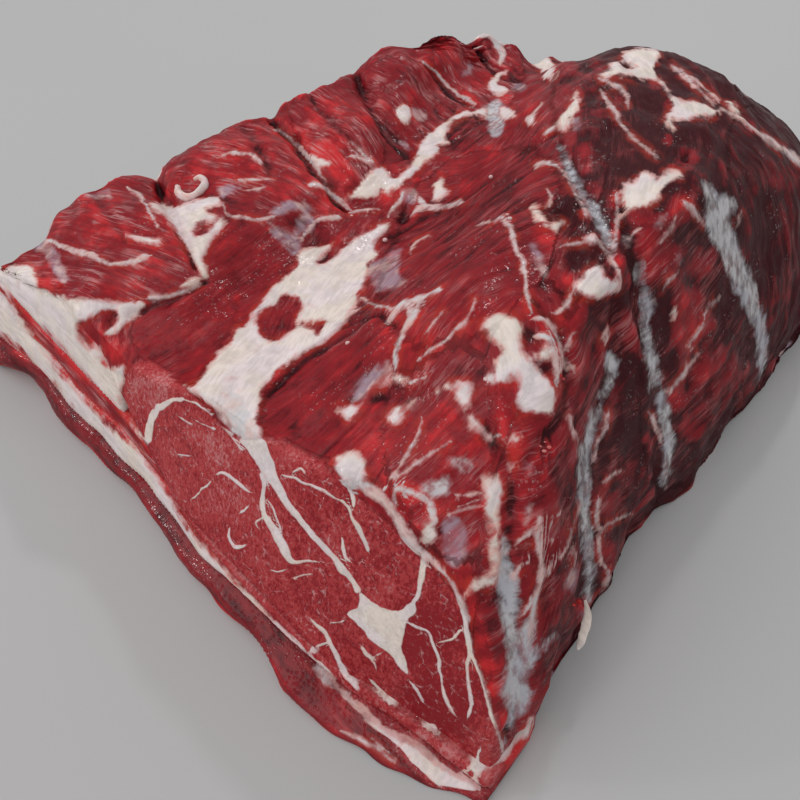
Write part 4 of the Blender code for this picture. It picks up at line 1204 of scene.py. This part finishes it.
def split_finer(mesh, wanted):
    """Subdivides once more the faces that a test picks out, and evens the new points."""
    form = bmesh.new()
    form.from_mesh(mesh)
    chosen = [face for face in form.faces if wanted(face)]
    edges = list({edge for face in chosen for edge in face.edges})
    made = bmesh.ops.subdivide_edges(form, edges=edges, cuts=1, use_grid_fill=True, smooth=0.0)
    points = [part for part in made["geom_inner"] if isinstance(part, bmesh.types.BMVert)]
    all_ways = {"use_axis_x": True, "use_axis_y": True, "use_axis_z": True}
    bmesh.ops.smooth_vert(form, verts=points, factor=0.5, **all_ways)
    form.to_mesh(mesh)
    form.free()
    mesh.update()


def piece_from(mesh, name, material, slot, *nodes):
    """Puts a finished mesh in the scene as a piece of the roll."""
    thing = bpy.data.objects.new(name, mesh)
    bpy.context.scene.collection.objects.link(thing)
    mesh.materials.clear()
    mesh.materials.append(material)
    mesh.shade_smooth()
    if nodes:
        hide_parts(*nodes)
    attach(thing, "root")
    return thing


def keep_normals(mesh):
    """Sets the normals that were stored before a mesh was split, so that no seam shows."""
    stored = mesh.attributes["whole_normal"]
    normals = np.empty(len(mesh.vertices) * 3, np.float32)
    stored.data.foreach_get("vector", normals)
    mesh.attributes.remove(stored)
    mesh.shade_smooth()
    mesh.normals_split_custom_set_from_vertices(normals.reshape(-1, 3).tolist())


def half_of(mesh, name, place, front):
    """The front or back part of a mesh, closed where it was split."""
    form = bmesh.new()
    form.from_mesh(mesh)
    bmesh.ops.bisect_plane(
        form, geom=form.verts[:] + form.edges[:] + form.faces[:], dist=1e-7, plane_co=(0.0, place, 0.0),
        plane_no=(0.0, 1.0, 0.0), clear_outer=front, clear_inner=not front,
    )
    rim = [edge for edge in form.edges if edge.is_boundary]
    bmesh.ops.edgenet_fill(form, edges=rim)
    bmesh.ops.triangulate(form, faces=[face for face in form.faces if len(face.verts) > 4])
    part = bpy.data.meshes.new(name)
    form.to_mesh(part)
    form.free()
    return part


class NodeKit:
    """Short calls that add nodes to a tree and join them."""

    def __init__(self, tree):
        self.tree = tree

    def add(self, kind, inputs=(), **settings):
        node = self.tree.nodes.new(kind)
        for name, value in settings.items():
            setattr(node, name, value)
        for name, value in dict(inputs).items():
            self.put(node.inputs[name], value)
        return node

    def put(self, socket, value):
        if isinstance(value, bpy.types.NodeSocket):
            self.tree.links.new(value, socket)
        else:
            socket.default_value = value

    def math(self, operation, first, second=0.0, clamp=False):
        node = self.add("ShaderNodeMath", {0: first, 1: second}, operation=operation, use_clamp=clamp)
        return node.outputs[0]

    def plus(self, first, second, clamp=False):
        return self.math("ADD", first, second, clamp)

    def minus(self, first, second):
        return self.math("SUBTRACT", first, second)

    def times(self, first, second):
        return self.math("MULTIPLY", first, second)

    def over(self, first, second):
        return self.math("DIVIDE", first, second)

    def larger(self, first, second):
        return self.math("MAXIMUM", first, second)

    def swing(self, value, reach):
        """A noise with its middle moved to 0, times a reach."""
        return self.times(self.minus(value, 0.5), reach)

    def crest(self, value):
        """How far a noise is from its middle, which is close to 0 along thin, winding lines."""
        return self.math("ABSOLUTE", self.minus(value, 0.5))

    def step(self, value, start, end, low=0.0, high=1.0):
        """A smooth step from low at start to high at end."""
        node = self.add(
            "ShaderNodeMapRange",
            {"Value": value, "From Min": start, "From Max": end, "To Min": low, "To Max": high},
            interpolation_type="SMOOTHSTEP",
        )
        return node.outputs["Result"]

    def mix(self, share, first, second, blend="MIX"):
        node = self.add("ShaderNodeMix", data_type="RGBA", blend_type=blend)
        self.put(node.inputs[0], share)
        self.put(node.inputs[6], first)
        self.put(node.inputs[7], second)
        return node.outputs[2]

    def blend(self, share, first, second):
        node = self.add("ShaderNodeMix", data_type="FLOAT")
        self.put(node.inputs[0], share)
        self.put(node.inputs[2], first)
        self.put(node.inputs[3], second)
        return node.outputs[0]

    def scaled(self, vector, factors):
        node = self.add("ShaderNodeVectorMath", {0: vector, 1: factors}, operation="MULTIPLY")
        return node.outputs[0]

    def noise(self, vector, scale, detail=2.0, rough=0.5, distortion=0.0, output="Fac"):
        node = self.add("ShaderNodeTexNoise", {"Vector": vector, "Scale": scale, "Detail": detail})
        self.put(node.inputs["Roughness"], rough)
        self.put(node.inputs["Distortion"], distortion)
        return node.outputs[output]

    def grained(self, vector, grain, detail, rough, distortion=0.0):
        """Noise that is drawn out along the fibres."""
        return self.noise(self.scaled(vector, grain), 1.0, detail, rough, distortion)

    def moved(self, vector, step):
        return self.add("ShaderNodeVectorMath", {0: vector, 1: step}, operation="ADD").outputs[0]

    def cells(self, vector, scale, feature="F1"):
        """Distance to the nearest cell's middle, or to the edge between two cells."""
        node = self.add("ShaderNodeTexVoronoi", {"Vector": vector, "Scale": scale}, feature=feature)
        return node.outputs["Distance"]


def new_group(name, inputs, outputs):
    """An empty shader node group with named sockets, and a kit for filling it."""
    group = bpy.data.node_groups.new(name, "ShaderNodeTree")
    for way, sockets in (("INPUT", inputs), ("OUTPUT", outputs)):
        for kind, labels in sockets.items():
            for label in labels.split():
                group.interface.new_socket(name=label, in_out=way, socket_type="NodeSocket" + kind)
    kit = NodeKit(group)
    start = kit.add("NodeGroupInput").outputs
    end = kit.add("NodeGroupOutput").inputs
    return group, kit, start, end


def ragged_edge_group():
    """Mask of a tissue from a distance in millimetres, with a ragged, feathered edge along the fibres."""
    group, kit, start, end = new_group(
        "Ragged edge", {"Float": "Distance Ragged Soft", "Vector": "Position Grain"}, {"Float": "Mask"}
    )
    feather = kit.grained(start["Grain"], FEATHER_GRAIN, 1.5, 0.6)
    broad = kit.noise(start["Position"], 150.0, 3.0, 0.62)
    push = kit.swing(feather, 1.5)
    push = kit.plus(push, kit.swing(broad, 5.0))
    push = kit.times(push, start["Ragged"])
    moved = kit.over(kit.plus(start["Distance"], push), start["Soft"])
    kit.put(end["Mask"], kit.step(moved, 1.0, -1.0))
    return group


def thread_group():
    """Mask of thin threads of fat: exact near their middle and cut off where they end."""
    group, kit, start, end = new_group(
        "Fat threads", {"Float": "Soft Broken Width", "Vector": "Thread Position"}, {"Float": "Mask"}
    )
    parts = kit.add("ShaderNodeSeparateXYZ", {0: start["Thread"]}).outputs
    wobble = kit.minus(kit.noise(start["Position"], 420.0, 2.0, 0.6), 0.5)
    half = kit.times(parts[2], start["Width"])
    half = kit.plus(half, kit.times(wobble, start["Broken"]))
    off = kit.minus(kit.math("ABSOLUTE", parts[0]), half)
    line = kit.step(kit.over(off, start["Soft"]), 1.0, -1.0)
    reach = kit.step(kit.minus(parts[1], half), 1.3, 0.7)
    kit.put(end["Mask"], kit.times(line, reach))
    return group


def fibre_group():
    """Lean muscle seen from its side: bundles, fine fibres and pale threads between them."""
    group, kit, start, end = new_group(
        "Muscle fibres",
        {"Float": "Tone Streaks", "Vector": "Position Grain", "Color": "Dark Lean Bright Pale"},
        {"Float": "Height", "Color": "Color"},
    )
    position, along = start["Position"], start["Grain"]
    coarse = kit.grained(along, BUNDLE_GRAIN, 3.0, 0.55, 0.2)
    fine = kit.grained(along, FIBRE_GRAIN, 1.0, 0.6)
    broad = kit.noise(position, 55.0, 3.0, 0.6)
    shift = kit.swing(coarse, 1.5)
    shift = kit.plus(shift, kit.swing(fine, 0.8))
    mottle = kit.noise(position, 260.0, 2.5, 0.65)
    shift = kit.plus(shift, kit.swing(broad, 1.6))
    shift = kit.plus(shift, kit.swing(mottle, 1.3))
    tone = kit.plus(start["Tone"], shift)
    dark = kit.step(tone, 0.05, -1.25)
    bright = kit.step(tone, -0.05, 1.35)
    colour = kit.mix(dark, start["Lean"], start["Dark"])
    colour = kit.mix(bright, colour, start["Bright"])
    lines = kit.crest(kit.grained(along, STREAK_GRAIN, 3.0, 0.6, 0.2))
    where = kit.noise(position, 85.0, 2.0, 0.5)
    amount = kit.times(kit.step(where, 0.40, 0.66), start["Streaks"])
    pale = kit.times(kit.step(lines, 0.030, 0.0, 0.0, 0.5), amount)
    hairs = kit.step(kit.crest(kit.grained(along, HAIR_GRAIN, 1.0, 0.5, 0.2)), 0.030, 0.0)
    hairs = kit.times(hairs, kit.times(kit.step(where, 0.35, 0.6), kit.times(start["Streaks"], 0.16)))
    veil = kit.times(kit.step(coarse, 0.52, 0.78), kit.times(amount, 0.6))
    pale = kit.larger(kit.larger(pale, veil), hairs)
    streak = kit.mix(kit.times(dark, 0.7), start["Pale"], start["Bright"])
    kit.put(end["Color"], kit.mix(pale, colour, streak))
    kit.put(end["Height"], kit.plus(kit.times(coarse, 0.9), kit.times(fine, 0.28)))
    return group


def marbling_group():
    """Lean muscle cut across its fibres: fine grain with broken, thin flecks of marbling."""
    group, kit, start, end = new_group(
        "Cut muscle",
        {"Float": "Tone", "Vector": "Position", "Color": "Lean Dark Fleck"},
        {"Float": "Height", "Color": "Color"},
    )
    position = start["Position"]
    warp = kit.moved(kit.noise(position, 160.0, output="Color"), (-0.5, -0.5, -0.5))
    bent = kit.moved(kit.scaled(warp, (0.008,) * 3), position)
    cells = kit.cells(kit.scaled(bent, (1.0, 1.0, 0.62)), 230.0, "DISTANCE_TO_EDGE")
    small = kit.cells(kit.scaled(bent, (1.0, 1.0, 0.5)), 560.0, "DISTANCE_TO_EDGE")
    broken = kit.step(kit.noise(position, 420.0, 3.0, 0.6), 0.48, 0.70)
    patchy = kit.step(kit.noise(position, 70.0, 2.0, 0.5), 0.32, 0.56)
    flecks = kit.times(kit.step(cells, 0.085, 0.0, 0.0, 0.62), kit.times(broken, patchy))
    speckled = kit.step(kit.noise(position, 700.0, 2.0), 0.60, 0.68)
    specks = kit.times(kit.step(small, 0.05, 0.02), speckled)
    mask = kit.larger(flecks, kit.times(specks, 0.15))
    grain = kit.noise(kit.scaled(position, (1.0, 1.0, 0.45)), 900.0, 2.0, 0.65)
    cloud = kit.noise(position, 130.0, 4.0, 0.65)
    lines = kit.crest(kit.noise(kit.scaled(bent, (1.0, 1.0, 0.4)), 420.0, 3.0, 0.6, 0.5))
    cracked = kit.step(kit.noise(position, 90.0, 2.0), 0.36, 0.56)
    cracks = kit.times(kit.step(lines, 0.034, 0.0), cracked)
    shift = kit.swing(grain, 3.8)
    shift = kit.plus(shift, kit.swing(cloud, 2.2))
    shift = kit.plus(shift, kit.times(start["Tone"], 1.5))
    shift = kit.minus(shift, kit.times(cracks, 1.5))
    colour = kit.mix(kit.step(shift, 0.15, -1.0, 0.0, 0.9), start["Lean"], start["Dark"])
    colour = kit.mix(kit.step(shift, 0.15, 1.5, 0.0, 0.40), colour, start["Fleck"])
    kit.put(end["Color"], kit.mix(mask, colour, start["Fleck"]))
    kit.put(end["Height"], kit.times(grain, 0.35))
    return group


def fat_group():
    """Fat: off-white with soft lumps, a few stained places and fine threads, with painted shade and light
    that follow its lumps and threads.
    """
    group, kit, start, end = new_group(
        "Fat tissue",
        {"Float": "Depth", "Vector": "Position Grain", "Color": "Fat Stained"},
        {"Float": "Height", "Color": "Color"},
    )
    position = start["Position"]
    soft = kit.noise(position, 170.0, 3.0, 0.6)
    threads = kit.grained(start["Grain"], FAT_GRAIN, 1.5, 0.6)
    blotch = kit.noise(position, 95.0, 4.0, 0.65)
    inner = kit.step(blotch, 0.58, 0.84, 0.0, 0.6)
    pushed = kit.plus(start["Depth"], kit.swing(threads, 4.0))
    border = kit.step(pushed, -1.5, 0.4, 0.0, 0.8)
    colour = kit.mix(kit.larger(inner, border), start["Fat"], start["Stained"])
    # Painted shade and light: greyer where the lumps and threads of the fat are low, brighter where they
    # are high
    shade = kit.step(kit.plus(kit.times(threads, 0.5), kit.times(soft, 0.5)), 0.36, 0.62, 0.84, 1.03)
    cool = kit.step(kit.noise(position, 60.0, 3.0, 0.6), 0.36, 0.64, 0.93, 1.05)
    parts = {"Red": shade, "Green": shade, "Blue": kit.times(shade, cool)}
    grey = kit.add("ShaderNodeCombineColor", parts)
    kit.put(end["Color"], kit.mix(1.0, colour, grey.outputs[0], "MULTIPLY"))
    kit.put(end["Height"], kit.plus(kit.times(soft, 0.8), kit.times(threads, 0.25)))
    return group


def groups():
    return {
        "edge": bpy.data.node_groups.get("Ragged edge") or ragged_edge_group(),
        "thread": bpy.data.node_groups.get("Fat threads") or thread_group(),
        "fibre": bpy.data.node_groups.get("Muscle fibres") or fibre_group(),
        "cut": bpy.data.node_groups.get("Cut muscle") or marbling_group(),
        "fat": bpy.data.node_groups.get("Fat tissue") or fat_group(),
    }


def rgba(colour):
    return (*colour, 1.0)


def meat_material(name, tone_shift=0.0, streak_shift=0.0, film_weight=FILM):
    """Meat with its fat, silverskin and membranes, read from the mesh's own attributes."""
    colours = bpy.context.scene.chuck_roll_colours
    made = bpy.data.materials.new(name)
    made.use_nodes = True
    kit = NodeKit(made.node_tree)
    shader = made.node_tree.nodes["Principled BSDF"]
    tools = groups()

    def placed(kind, inputs):
        return kit.add("ShaderNodeGroup", inputs, node_tree=tools[kind]).outputs

    def stored(label):
        return kit.add("ShaderNodeAttribute", attribute_name=label).outputs["Vector"]

    position = kit.add("ShaderNodeTexCoord").outputs["Object"]
    grain = stored("grain")
    layers = kit.add("ShaderNodeSeparateXYZ", {0: stored("layers")}).outputs
    shade = kit.add("ShaderNodeSeparateXYZ", {0: stored("shade")}).outputs
    tone = kit.plus(shade[0], tone_shift)
    streaks = kit.plus(shade[2], streak_shift, clamp=True)
    lean = placed("fibre", {
        "Grain": grain, "Position": position, "Tone": tone, "Streaks": streaks,
        "Dark": rgba(colours.dark_lean_and_shade), "Lean": rgba(colours.lean), "Bright": rgba(colours.bright_lean_and_crest_light),
        "Pale": rgba(colours.thread),
    })
    cut = placed("cut", {
        "Position": position, "Tone": tone, "Lean": rgba(colours.cut_lean), "Dark": rgba(colours.lean),
        "Fleck": rgba(colours.thread),
    })
    fat = placed("fat", {
        "Position": position, "Grain": grain, "Fat": rgba(colours.fat),
        "Stained": rgba(colours.stained_fat), "Depth": kit.minus(layers[0], kit.times(shade[1], 0.9)),
    })
    ragged = kit.blend(shade[1], 1.0, 0.25)
    fat_mask = placed("edge", {
        "Distance": layers[0], "Position": position, "Grain": grain, "Ragged": ragged,
        "Soft": kit.blend(shade[1], 0.9, 0.22),
    })[0]
    thin_mask = placed("thread", {
        "Thread": stored("thread"), "Position": position, "Soft": kit.blend(shade[1], 0.6, 0.2),
        "Broken": kit.blend(shade[1], 1.8, 0.7), "Width": kit.blend(shade[1], 0.78, 1.0),
    })[0]
    thin_mask = kit.times(thin_mask, kit.step(kit.noise(position, 110.0, 3.0), 0.30, 0.52, 0.5, 1.0))
    # Pale threads fade where the tone is dark, so the painted shade in the tone dims them too
    thin_mask = kit.times(thin_mask, kit.blend(shade[1], kit.step(tone, -1.0, 0.2, 0.5, 1.0), 1.0))
    frayed = kit.step(kit.noise(position, 260.0, 4.0, 0.65), 0.38, 0.60, 0.42, 1.0)
    thin_mask = kit.times(thin_mask, kit.blend(shade[1], frayed, 1.0))
    silver_mask = placed("edge", {
        "Distance": layers[1], "Position": position, "Grain": grain, "Ragged": 1.3, "Soft": 1.5,
    })[0]
    lilac_mask = placed("edge", {
        "Distance": layers[2], "Position": position, "Grain": grain, "Ragged": 1.0, "Soft": 1.3,
    })[0]
    blushing = kit.step(kit.noise(position, 120.0, 2.0), 0.42, 0.62)
    rim = kit.times(kit.step(layers[0], 3.0, 0.5), blushing)
    rim = kit.times(rim, kit.blend(shade[1], 0.40, 0.0))
    skin = kit.mix(rim, lean["Color"], rgba(colours.blush))
    meat = kit.mix(shade[1], skin, cut["Color"])
    thickness = kit.step(kit.grained(grain, FILM_GRAIN, 4.0, 0.6), 0.32, 0.62, 0.25, 0.9)
    veil = kit.times(lilac_mask, thickness)
    whiter = kit.step(kit.noise(position, 80.0, 4.0, 0.6), 0.44, 0.60)
    colour = kit.mix(veil, meat, kit.mix(whiter, rgba(colours.lilac), rgba(colours.veil)))
    sheen = kit.grained(position, SHEEN_GRAIN, 4.0, 0.6)
    silver_veil = kit.times(silver_mask, kit.step(sheen, 0.34, 0.58, 0.35, 0.97))
    cool_silver = rgba([value * share for value, share in zip(colours.silver, (0.78, 0.80, 0.86))])
    cooler = kit.step(kit.noise(position, 70.0, 4.0, 0.6), 0.40, 0.62)
    silver = kit.mix(cooler, rgba(colours.silver), cool_silver)
    colour = kit.mix(silver_veil, colour, silver)
    colour = kit.mix(fat_mask, colour, fat["Color"])
    greyer = kit.step(kit.noise(position, 120.0, 3.0), 0.40, 0.60)
    seam = kit.mix(greyer, rgba(colours.veil), rgba(colours.silver))
    colour = kit.mix(thin_mask, colour, kit.mix(shade[1], seam, fat["Color"]))
    kit.put(shader.inputs["Base Color"], colour)
    fat_mask = kit.larger(fat_mask, thin_mask)
    gloss = kit.noise(position, 130.0, 3.0, 0.6)
    rough = kit.step(gloss, 0.3, 0.7, 0.32, 0.55)
    rough = kit.blend(fat_mask, rough, 0.42)
    kit.put(shader.inputs["Roughness"], rough)
    drops = kit.step(kit.cells(position, DROPS), 0.42, 0.05)
    coat = kit.step(kit.noise(position, 75.0, 4.0, 0.6), 0.50, 0.66, 0.0, 0.9)
    coat = kit.plus(kit.times(coat, kit.step(drops, 0.25, 0.40)), film_weight)
    wetness = kit.add("ShaderNodeAttribute", attribute_name="wet").outputs["Fac"]
    kit.put(shader.inputs["Coat Weight"], kit.times(wetness, kit.blend(fat_mask, coat, FAT_FILM)))
    shader.inputs["Coat IOR"].default_value = 2.0
    shader.inputs["Coat Roughness"].default_value = 0.12
    shader.inputs["Specular IOR Level"].default_value = 0.04
    height = kit.blend(shade[1], lean["Height"], cut["Height"])
    height = kit.times(height, kit.blend(silver_mask, 1.0, 0.35))
    height = kit.blend(fat_mask, height, fat["Height"])
    height = kit.plus(height, kit.times(fat_mask, kit.blend(shade[1], 0.25, 0.05)))
    bump = kit.add("ShaderNodeBump", {"Height": height, "Strength": 0.85, "Distance": 0.6 * MM})
    kit.put(shader.inputs["Normal"], bump.outputs["Normal"])
    drops = kit.plus(drops, kit.times(kit.noise(position, 700.0, 1.0), 0.6))
    film_bump = kit.add("ShaderNodeBump", {"Height": drops, "Strength": 1.0, "Distance": 0.35 * MM})
    kit.put(shader.inputs["Coat Normal"], film_bump.outputs["Normal"])
    return made


class CHUCKROLL_OT_muscles(bpy.types.Operator):
    """Make the great block of muscles in two closed pieces."""

    bl_idname = "chuckroll.muscles"
    bl_label = "Muscles"

    def execute(self, context):
        tree = cad_tree()
        mesh = finer("main_muscles", 2)

        def near_cut(face):
            centre = face.calc_center_median()
            return face.normal.y < -0.75 and centre.z > 0.004

        def above(face):
            normal = face.normal
            return normal.z > -0.15 or normal.x > 0.3 or normal.y < -0.5

        split_finer(mesh, above)
        split_finer(mesh, near_cut)
        surface = Surface(mesh, tree)
        paint(surface, tree, "main_muscles")
        surface.write("whole_normal", *surface.normals.T)
        material = meat_material("lean_meat")
        for name, front in (("cut_end_muscles", True), ("far_muscles", False)):
            part = half_of(mesh, name, context.scene.chuck_roll_sizes.split_at, front)
            keep_normals(part)
            piece_from(part, name, material, "lean_meat", "main_muscles")
        return {"FINISHED"}


class CHUCKROLL_OT_layers(bpy.types.Operator):
    """Make the fat and muscle layers under the great block."""

    bl_idname = "chuckroll.layers"
    bl_label = "Layers"

    def execute(self, context):
        tree = cad_tree()
        for node, slot, tone, streaks, film_weight in (
            ("upper_fat", "fat", 0.0, 0.2, FILM),
            ("streak_muscle", "lean_meat", 0.1, 0.5, FILM),
            ("fat_layer", "fat", 0.0, 0.2, FILM),
            ("under_muscle", "lean_meat", -0.35, -0.2, WET_FILM),
        ):
            mesh = finer(node, 2)
            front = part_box(node)[0].y + 0.03

            def outside(face):
                return abs(face.normal.z) < 0.8 or face.calc_center_median().y < front

            split_finer(mesh, outside)
            surface = Surface(mesh, tree)
            paint(surface, tree, node)
            material = meat_material(node, tone, streaks, film_weight)
            piece_from(surface.mesh, node + "_flesh", material, slot, node)
        return {"FINISHED"}


def ring_edges(form, ring):
    """The edges that join the points of a ring."""
    return [edge for edge in form.edges if all(end in ring for end in edge.verts)]


def strand(form, points, radii, facing, flat):
    """A tapering strand of tissue along a line of points, flattened on one side."""
    line = rounded(np.column_stack([points, radii]), False)
    aims = np.gradient(line[:, :3], axis=0)
    before = Matrix.Identity(4)
    ring = bmesh.ops.create_circle(form, segments=14, radius=1.0, cap_ends=True)["verts"]
    for index, (spot, aim) in enumerate(zip(line, aims)):
        ahead = Vector(aim).normalized()
        across = Vector(facing).cross(ahead).normalized()
        up = ahead.cross(across)
        turn = Matrix((across, up, ahead)).transposed().to_4x4()
        size = Matrix.Diagonal((spot[3], spot[3] * flat, spot[3], 1.0))
        place = Matrix.Translation(Vector(spot[:3])) @ turn @ size
        if index:
            made = bmesh.ops.extrude_edge_only(form, edges=ring_edges(form, ring))["geom"]
            ring = [part for part in made if isinstance(part, bmesh.types.BMVert)]
        bmesh.ops.transform(form, matrix=place @ before.inverted(), verts=ring)
        before = place
    bmesh.ops.edgenet_fill(form, edges=ring_edges(form, ring))


def blob(form, centre, radius, facing, flat):
    """A small lump of tissue that lies flat on the meat."""
    turn = Vector(facing).to_track_quat("Z", "Y").to_matrix().to_4x4()
    size = Matrix.Diagonal((radius, radius * 0.8, radius * flat, 1.0))
    place = Matrix.Translation(Vector(centre)) @ turn @ size
    bmesh.ops.create_icosphere(form, subdivisions=4, radius=1.0, matrix=place)


def small_piece(form, name, tree, slot, depth, tone):
    """Finishes a small piece: lumps on its surface and one tissue all through."""
    bmesh.ops.recalc_face_normals(form, faces=form.faces[:])
    mesh = bpy.data.meshes.new(name)
    form.to_mesh(mesh)
    form.free()
    surface = Surface(mesh, tree)
    surface.move(lumps(surface.points, CRUMB_LUMPS))
    even = np.ones(len(surface.points))
    surface.write("layers", depth * even, FAR_MM * even, FAR_MM * even)
    surface.write("thread", FAR_MM * even, FAR_MM * even, even)
    surface.write("shade", tone * even, 0.0 * even, 0.5 * even)
    surface.write("grain", *surface.points.T)
    surface.write("wet", 0.6 * even)
    return piece_from(mesh, name, meat_material(name), slot)


class CHUCKROLL_OT_bits(bpy.types.Operator):
    """Make the loose bits: the fat curl, the white tag at the tall side, fat crumbs and meat crumbs."""

    bl_idname = "chuckroll.bits"
    bl_label = "Bits"

    def execute(self, context):
        tree = cad_tree()
        eye = np.array(context.scene.chuck_roll_view.place)
        scale = picture_scale()

        def lifted(pixel, lift):
            spot = on_surface(tree, pixel)[0]
            return spot + unit(eye - spot) * lift

        def metres(pixels, spot):
            return pixels * np.linalg.norm(eye - spot) / scale

        form = bmesh.new()
        path = np.array([lifted((x, y), lift * MM) for x, y, _, lift in CURL])
        radii = [metres(size, path[0]) for _, _, size, _ in CURL]
        strand(form, path, radii, eye - path[0], 0.65)
        small_piece(form, "fat_curl", tree, "fat", -0.9, 0.0)

        form = bmesh.new()
        start = on_surface(tree, TAG[0][:2])[0]
        reach = np.linalg.norm(start - eye)
        path = []
        for x, y, _ in TAG:
            ray = camera_axes() @ np.array([x - PICTURE / 2.0, PICTURE / 2.0 - y, -scale])
            floor_reach = (eye[2] - 1.5 * MM) / -unit(ray)[2]
            path.append(eye + unit(ray) * min(reach, floor_reach))
        radii = [metres(size, start) for *_, size in TAG]
        strand(form, np.array(path), radii, eye - start, 0.3)
        small_piece(form, "white_tag", tree, "fat", -3.0, 0.0)

        for name, slot, depth, table in (
            ("fat_crumbs", "fat", -0.6, FAT_CRUMBS), ("meat_crumbs", "lean_meat", 1.0, MEAT_CRUMBS)
        ):
            form = bmesh.new()
            for x, y, size in table:
                centre = lifted((x, y), 0.2 * MM)
                blob(form, centre, metres(size, centre), eye - centre, 0.45)
            small_piece(form, name, tree, slot, depth, 0.9)
        return {"FINISHED"}


class CHUCKROLL_OT_stage(bpy.types.Operator):
    """Make the pale floor, the soft light and the camera."""

    bl_idname = "chuckroll.stage"
    bl_label = "Stage"

    def execute(self, context):
        view = context.scene.chuck_roll_view
        form = bmesh.new()
        bmesh.ops.create_grid(form, x_segments=1, y_segments=1, size=6.0)
        bmesh.ops.translate(form, verts=form.verts[:], vec=(0.0, 0.0, -0.4 * MM))
        mesh = bpy.data.meshes.new("floor")
        form.to_mesh(mesh)
        form.free()
        floor = bpy.data.objects.new("floor", mesh)
        context.scene.collection.objects.link(floor)
        made = bpy.data.materials.new("floor")
        made.use_nodes = True
        kit = NodeKit(made.node_tree)
        shader = made.node_tree.nodes["Principled BSDF"]
        position = kit.add("ShaderNodeTexCoord").outputs["Object"]
        pale = rgba(view.floor)
        dim = rgba([value * 0.97 for value in view.floor])
        kit.put(shader.inputs["Base Color"], kit.mix(kit.noise(position, 3.0), pale, dim))
        shader.inputs["Roughness"].default_value = 0.75
        shader.inputs["Specular IOR Level"].default_value = 0.1
        mesh.materials.append(made)
        world = bpy.data.worlds.new("Studio")
        world.use_nodes = True
        world.node_tree.nodes["Background"].inputs["Color"].default_value = (1.0, 1.0, 1.0, 1.0)
        world.node_tree.nodes["Background"].inputs["Strength"].default_value = view.sky
        context.scene.world = world
        context.scene.view_settings.view_transform = "Standard"
        self.lamp(context, "key", "SUN", (-0.36, -0.42, 1.0), view.key).angle = math.radians(60.0)
        self.lamp(context, "spark", "AREA", (-0.25, 0.55, 0.9), view.spark).size = 0.06
        self.lamp(context, "low_spark", "AREA", (-0.62, -0.70, 0.5), 0.5 * view.spark).size = 0.06
        data = bpy.data.cameras.new("camera")
        data.angle = view.angle
        data.clip_start = 0.01
        camera = bpy.data.objects.new("camera", data)
        camera.location = view.place
        camera.rotation_euler = view.turn
        context.scene.collection.objects.link(camera)
        context.scene.camera = camera
        return {"FINISHED"}

    def lamp(self, context, name, kind, place, power):
        data = bpy.data.lights.new(name, kind)
        data.energy = power
        lamp = bpy.data.objects.new(name, data)
        lamp.location = place
        aim = Vector((0.0, 0.0, 0.05)) - Vector(place)
        lamp.rotation_euler = aim.to_track_quat("-Z", "Y").to_euler()
        context.scene.collection.objects.link(lamp)
        return data


class CHUCKROLL_PT_panel(bpy.types.Panel):
    """Steps that make the chuck roll."""

    bl_idname = "CHUCKROLL_PT_panel"
    bl_label = "Chuck Roll"
    bl_space_type = "VIEW_3D"
    bl_region_type = "UI"
    bl_category = "Chuck Roll"

    def draw(self, context):
        for step in STEPS:
            self.layout.operator(step.bl_idname)
        for group in GROUPS:
            settings = getattr(context.scene, group)
            for name in settings.bl_rna.properties.keys():
                if name not in ("rna_type", "name"):
                    self.layout.prop(settings, name)


GROUPS = ("chuck_roll_sizes", "chuck_roll_colours", "chuck_roll_view")
STEPS = (CHUCKROLL_OT_stage, CHUCKROLL_OT_muscles, CHUCKROLL_OT_layers, CHUCKROLL_OT_bits)
SETTINGS = (CHUCKROLL_PG_sizes, CHUCKROLL_PG_colours, CHUCKROLL_PG_view)


def register():
    for kind in (*SETTINGS, *STEPS, CHUCKROLL_PT_panel):
        bpy.utils.register_class(kind)
    for name, kind in zip(GROUPS, SETTINGS):
        setattr(bpy.types.Scene, name, bpy.props.PointerProperty(type=kind))


def unregister():
    for name in GROUPS:
        delattr(bpy.types.Scene, name)
    for kind in reversed((*SETTINGS, *STEPS, CHUCKROLL_PT_panel)):
        bpy.utils.unregister_class(kind)


def main():
    register()
    for thing in list(bpy.data.objects):
        if thing.name in ("Cube", "Light", "Camera"):
            bpy.data.objects.remove(thing)
    bpy.ops.chuckroll.stage()
    bpy.ops.chuckroll.muscles()
    bpy.ops.chuckroll.layers()
    bpy.ops.chuckroll.bits()
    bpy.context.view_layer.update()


if __name__ == "__main__":
    main()
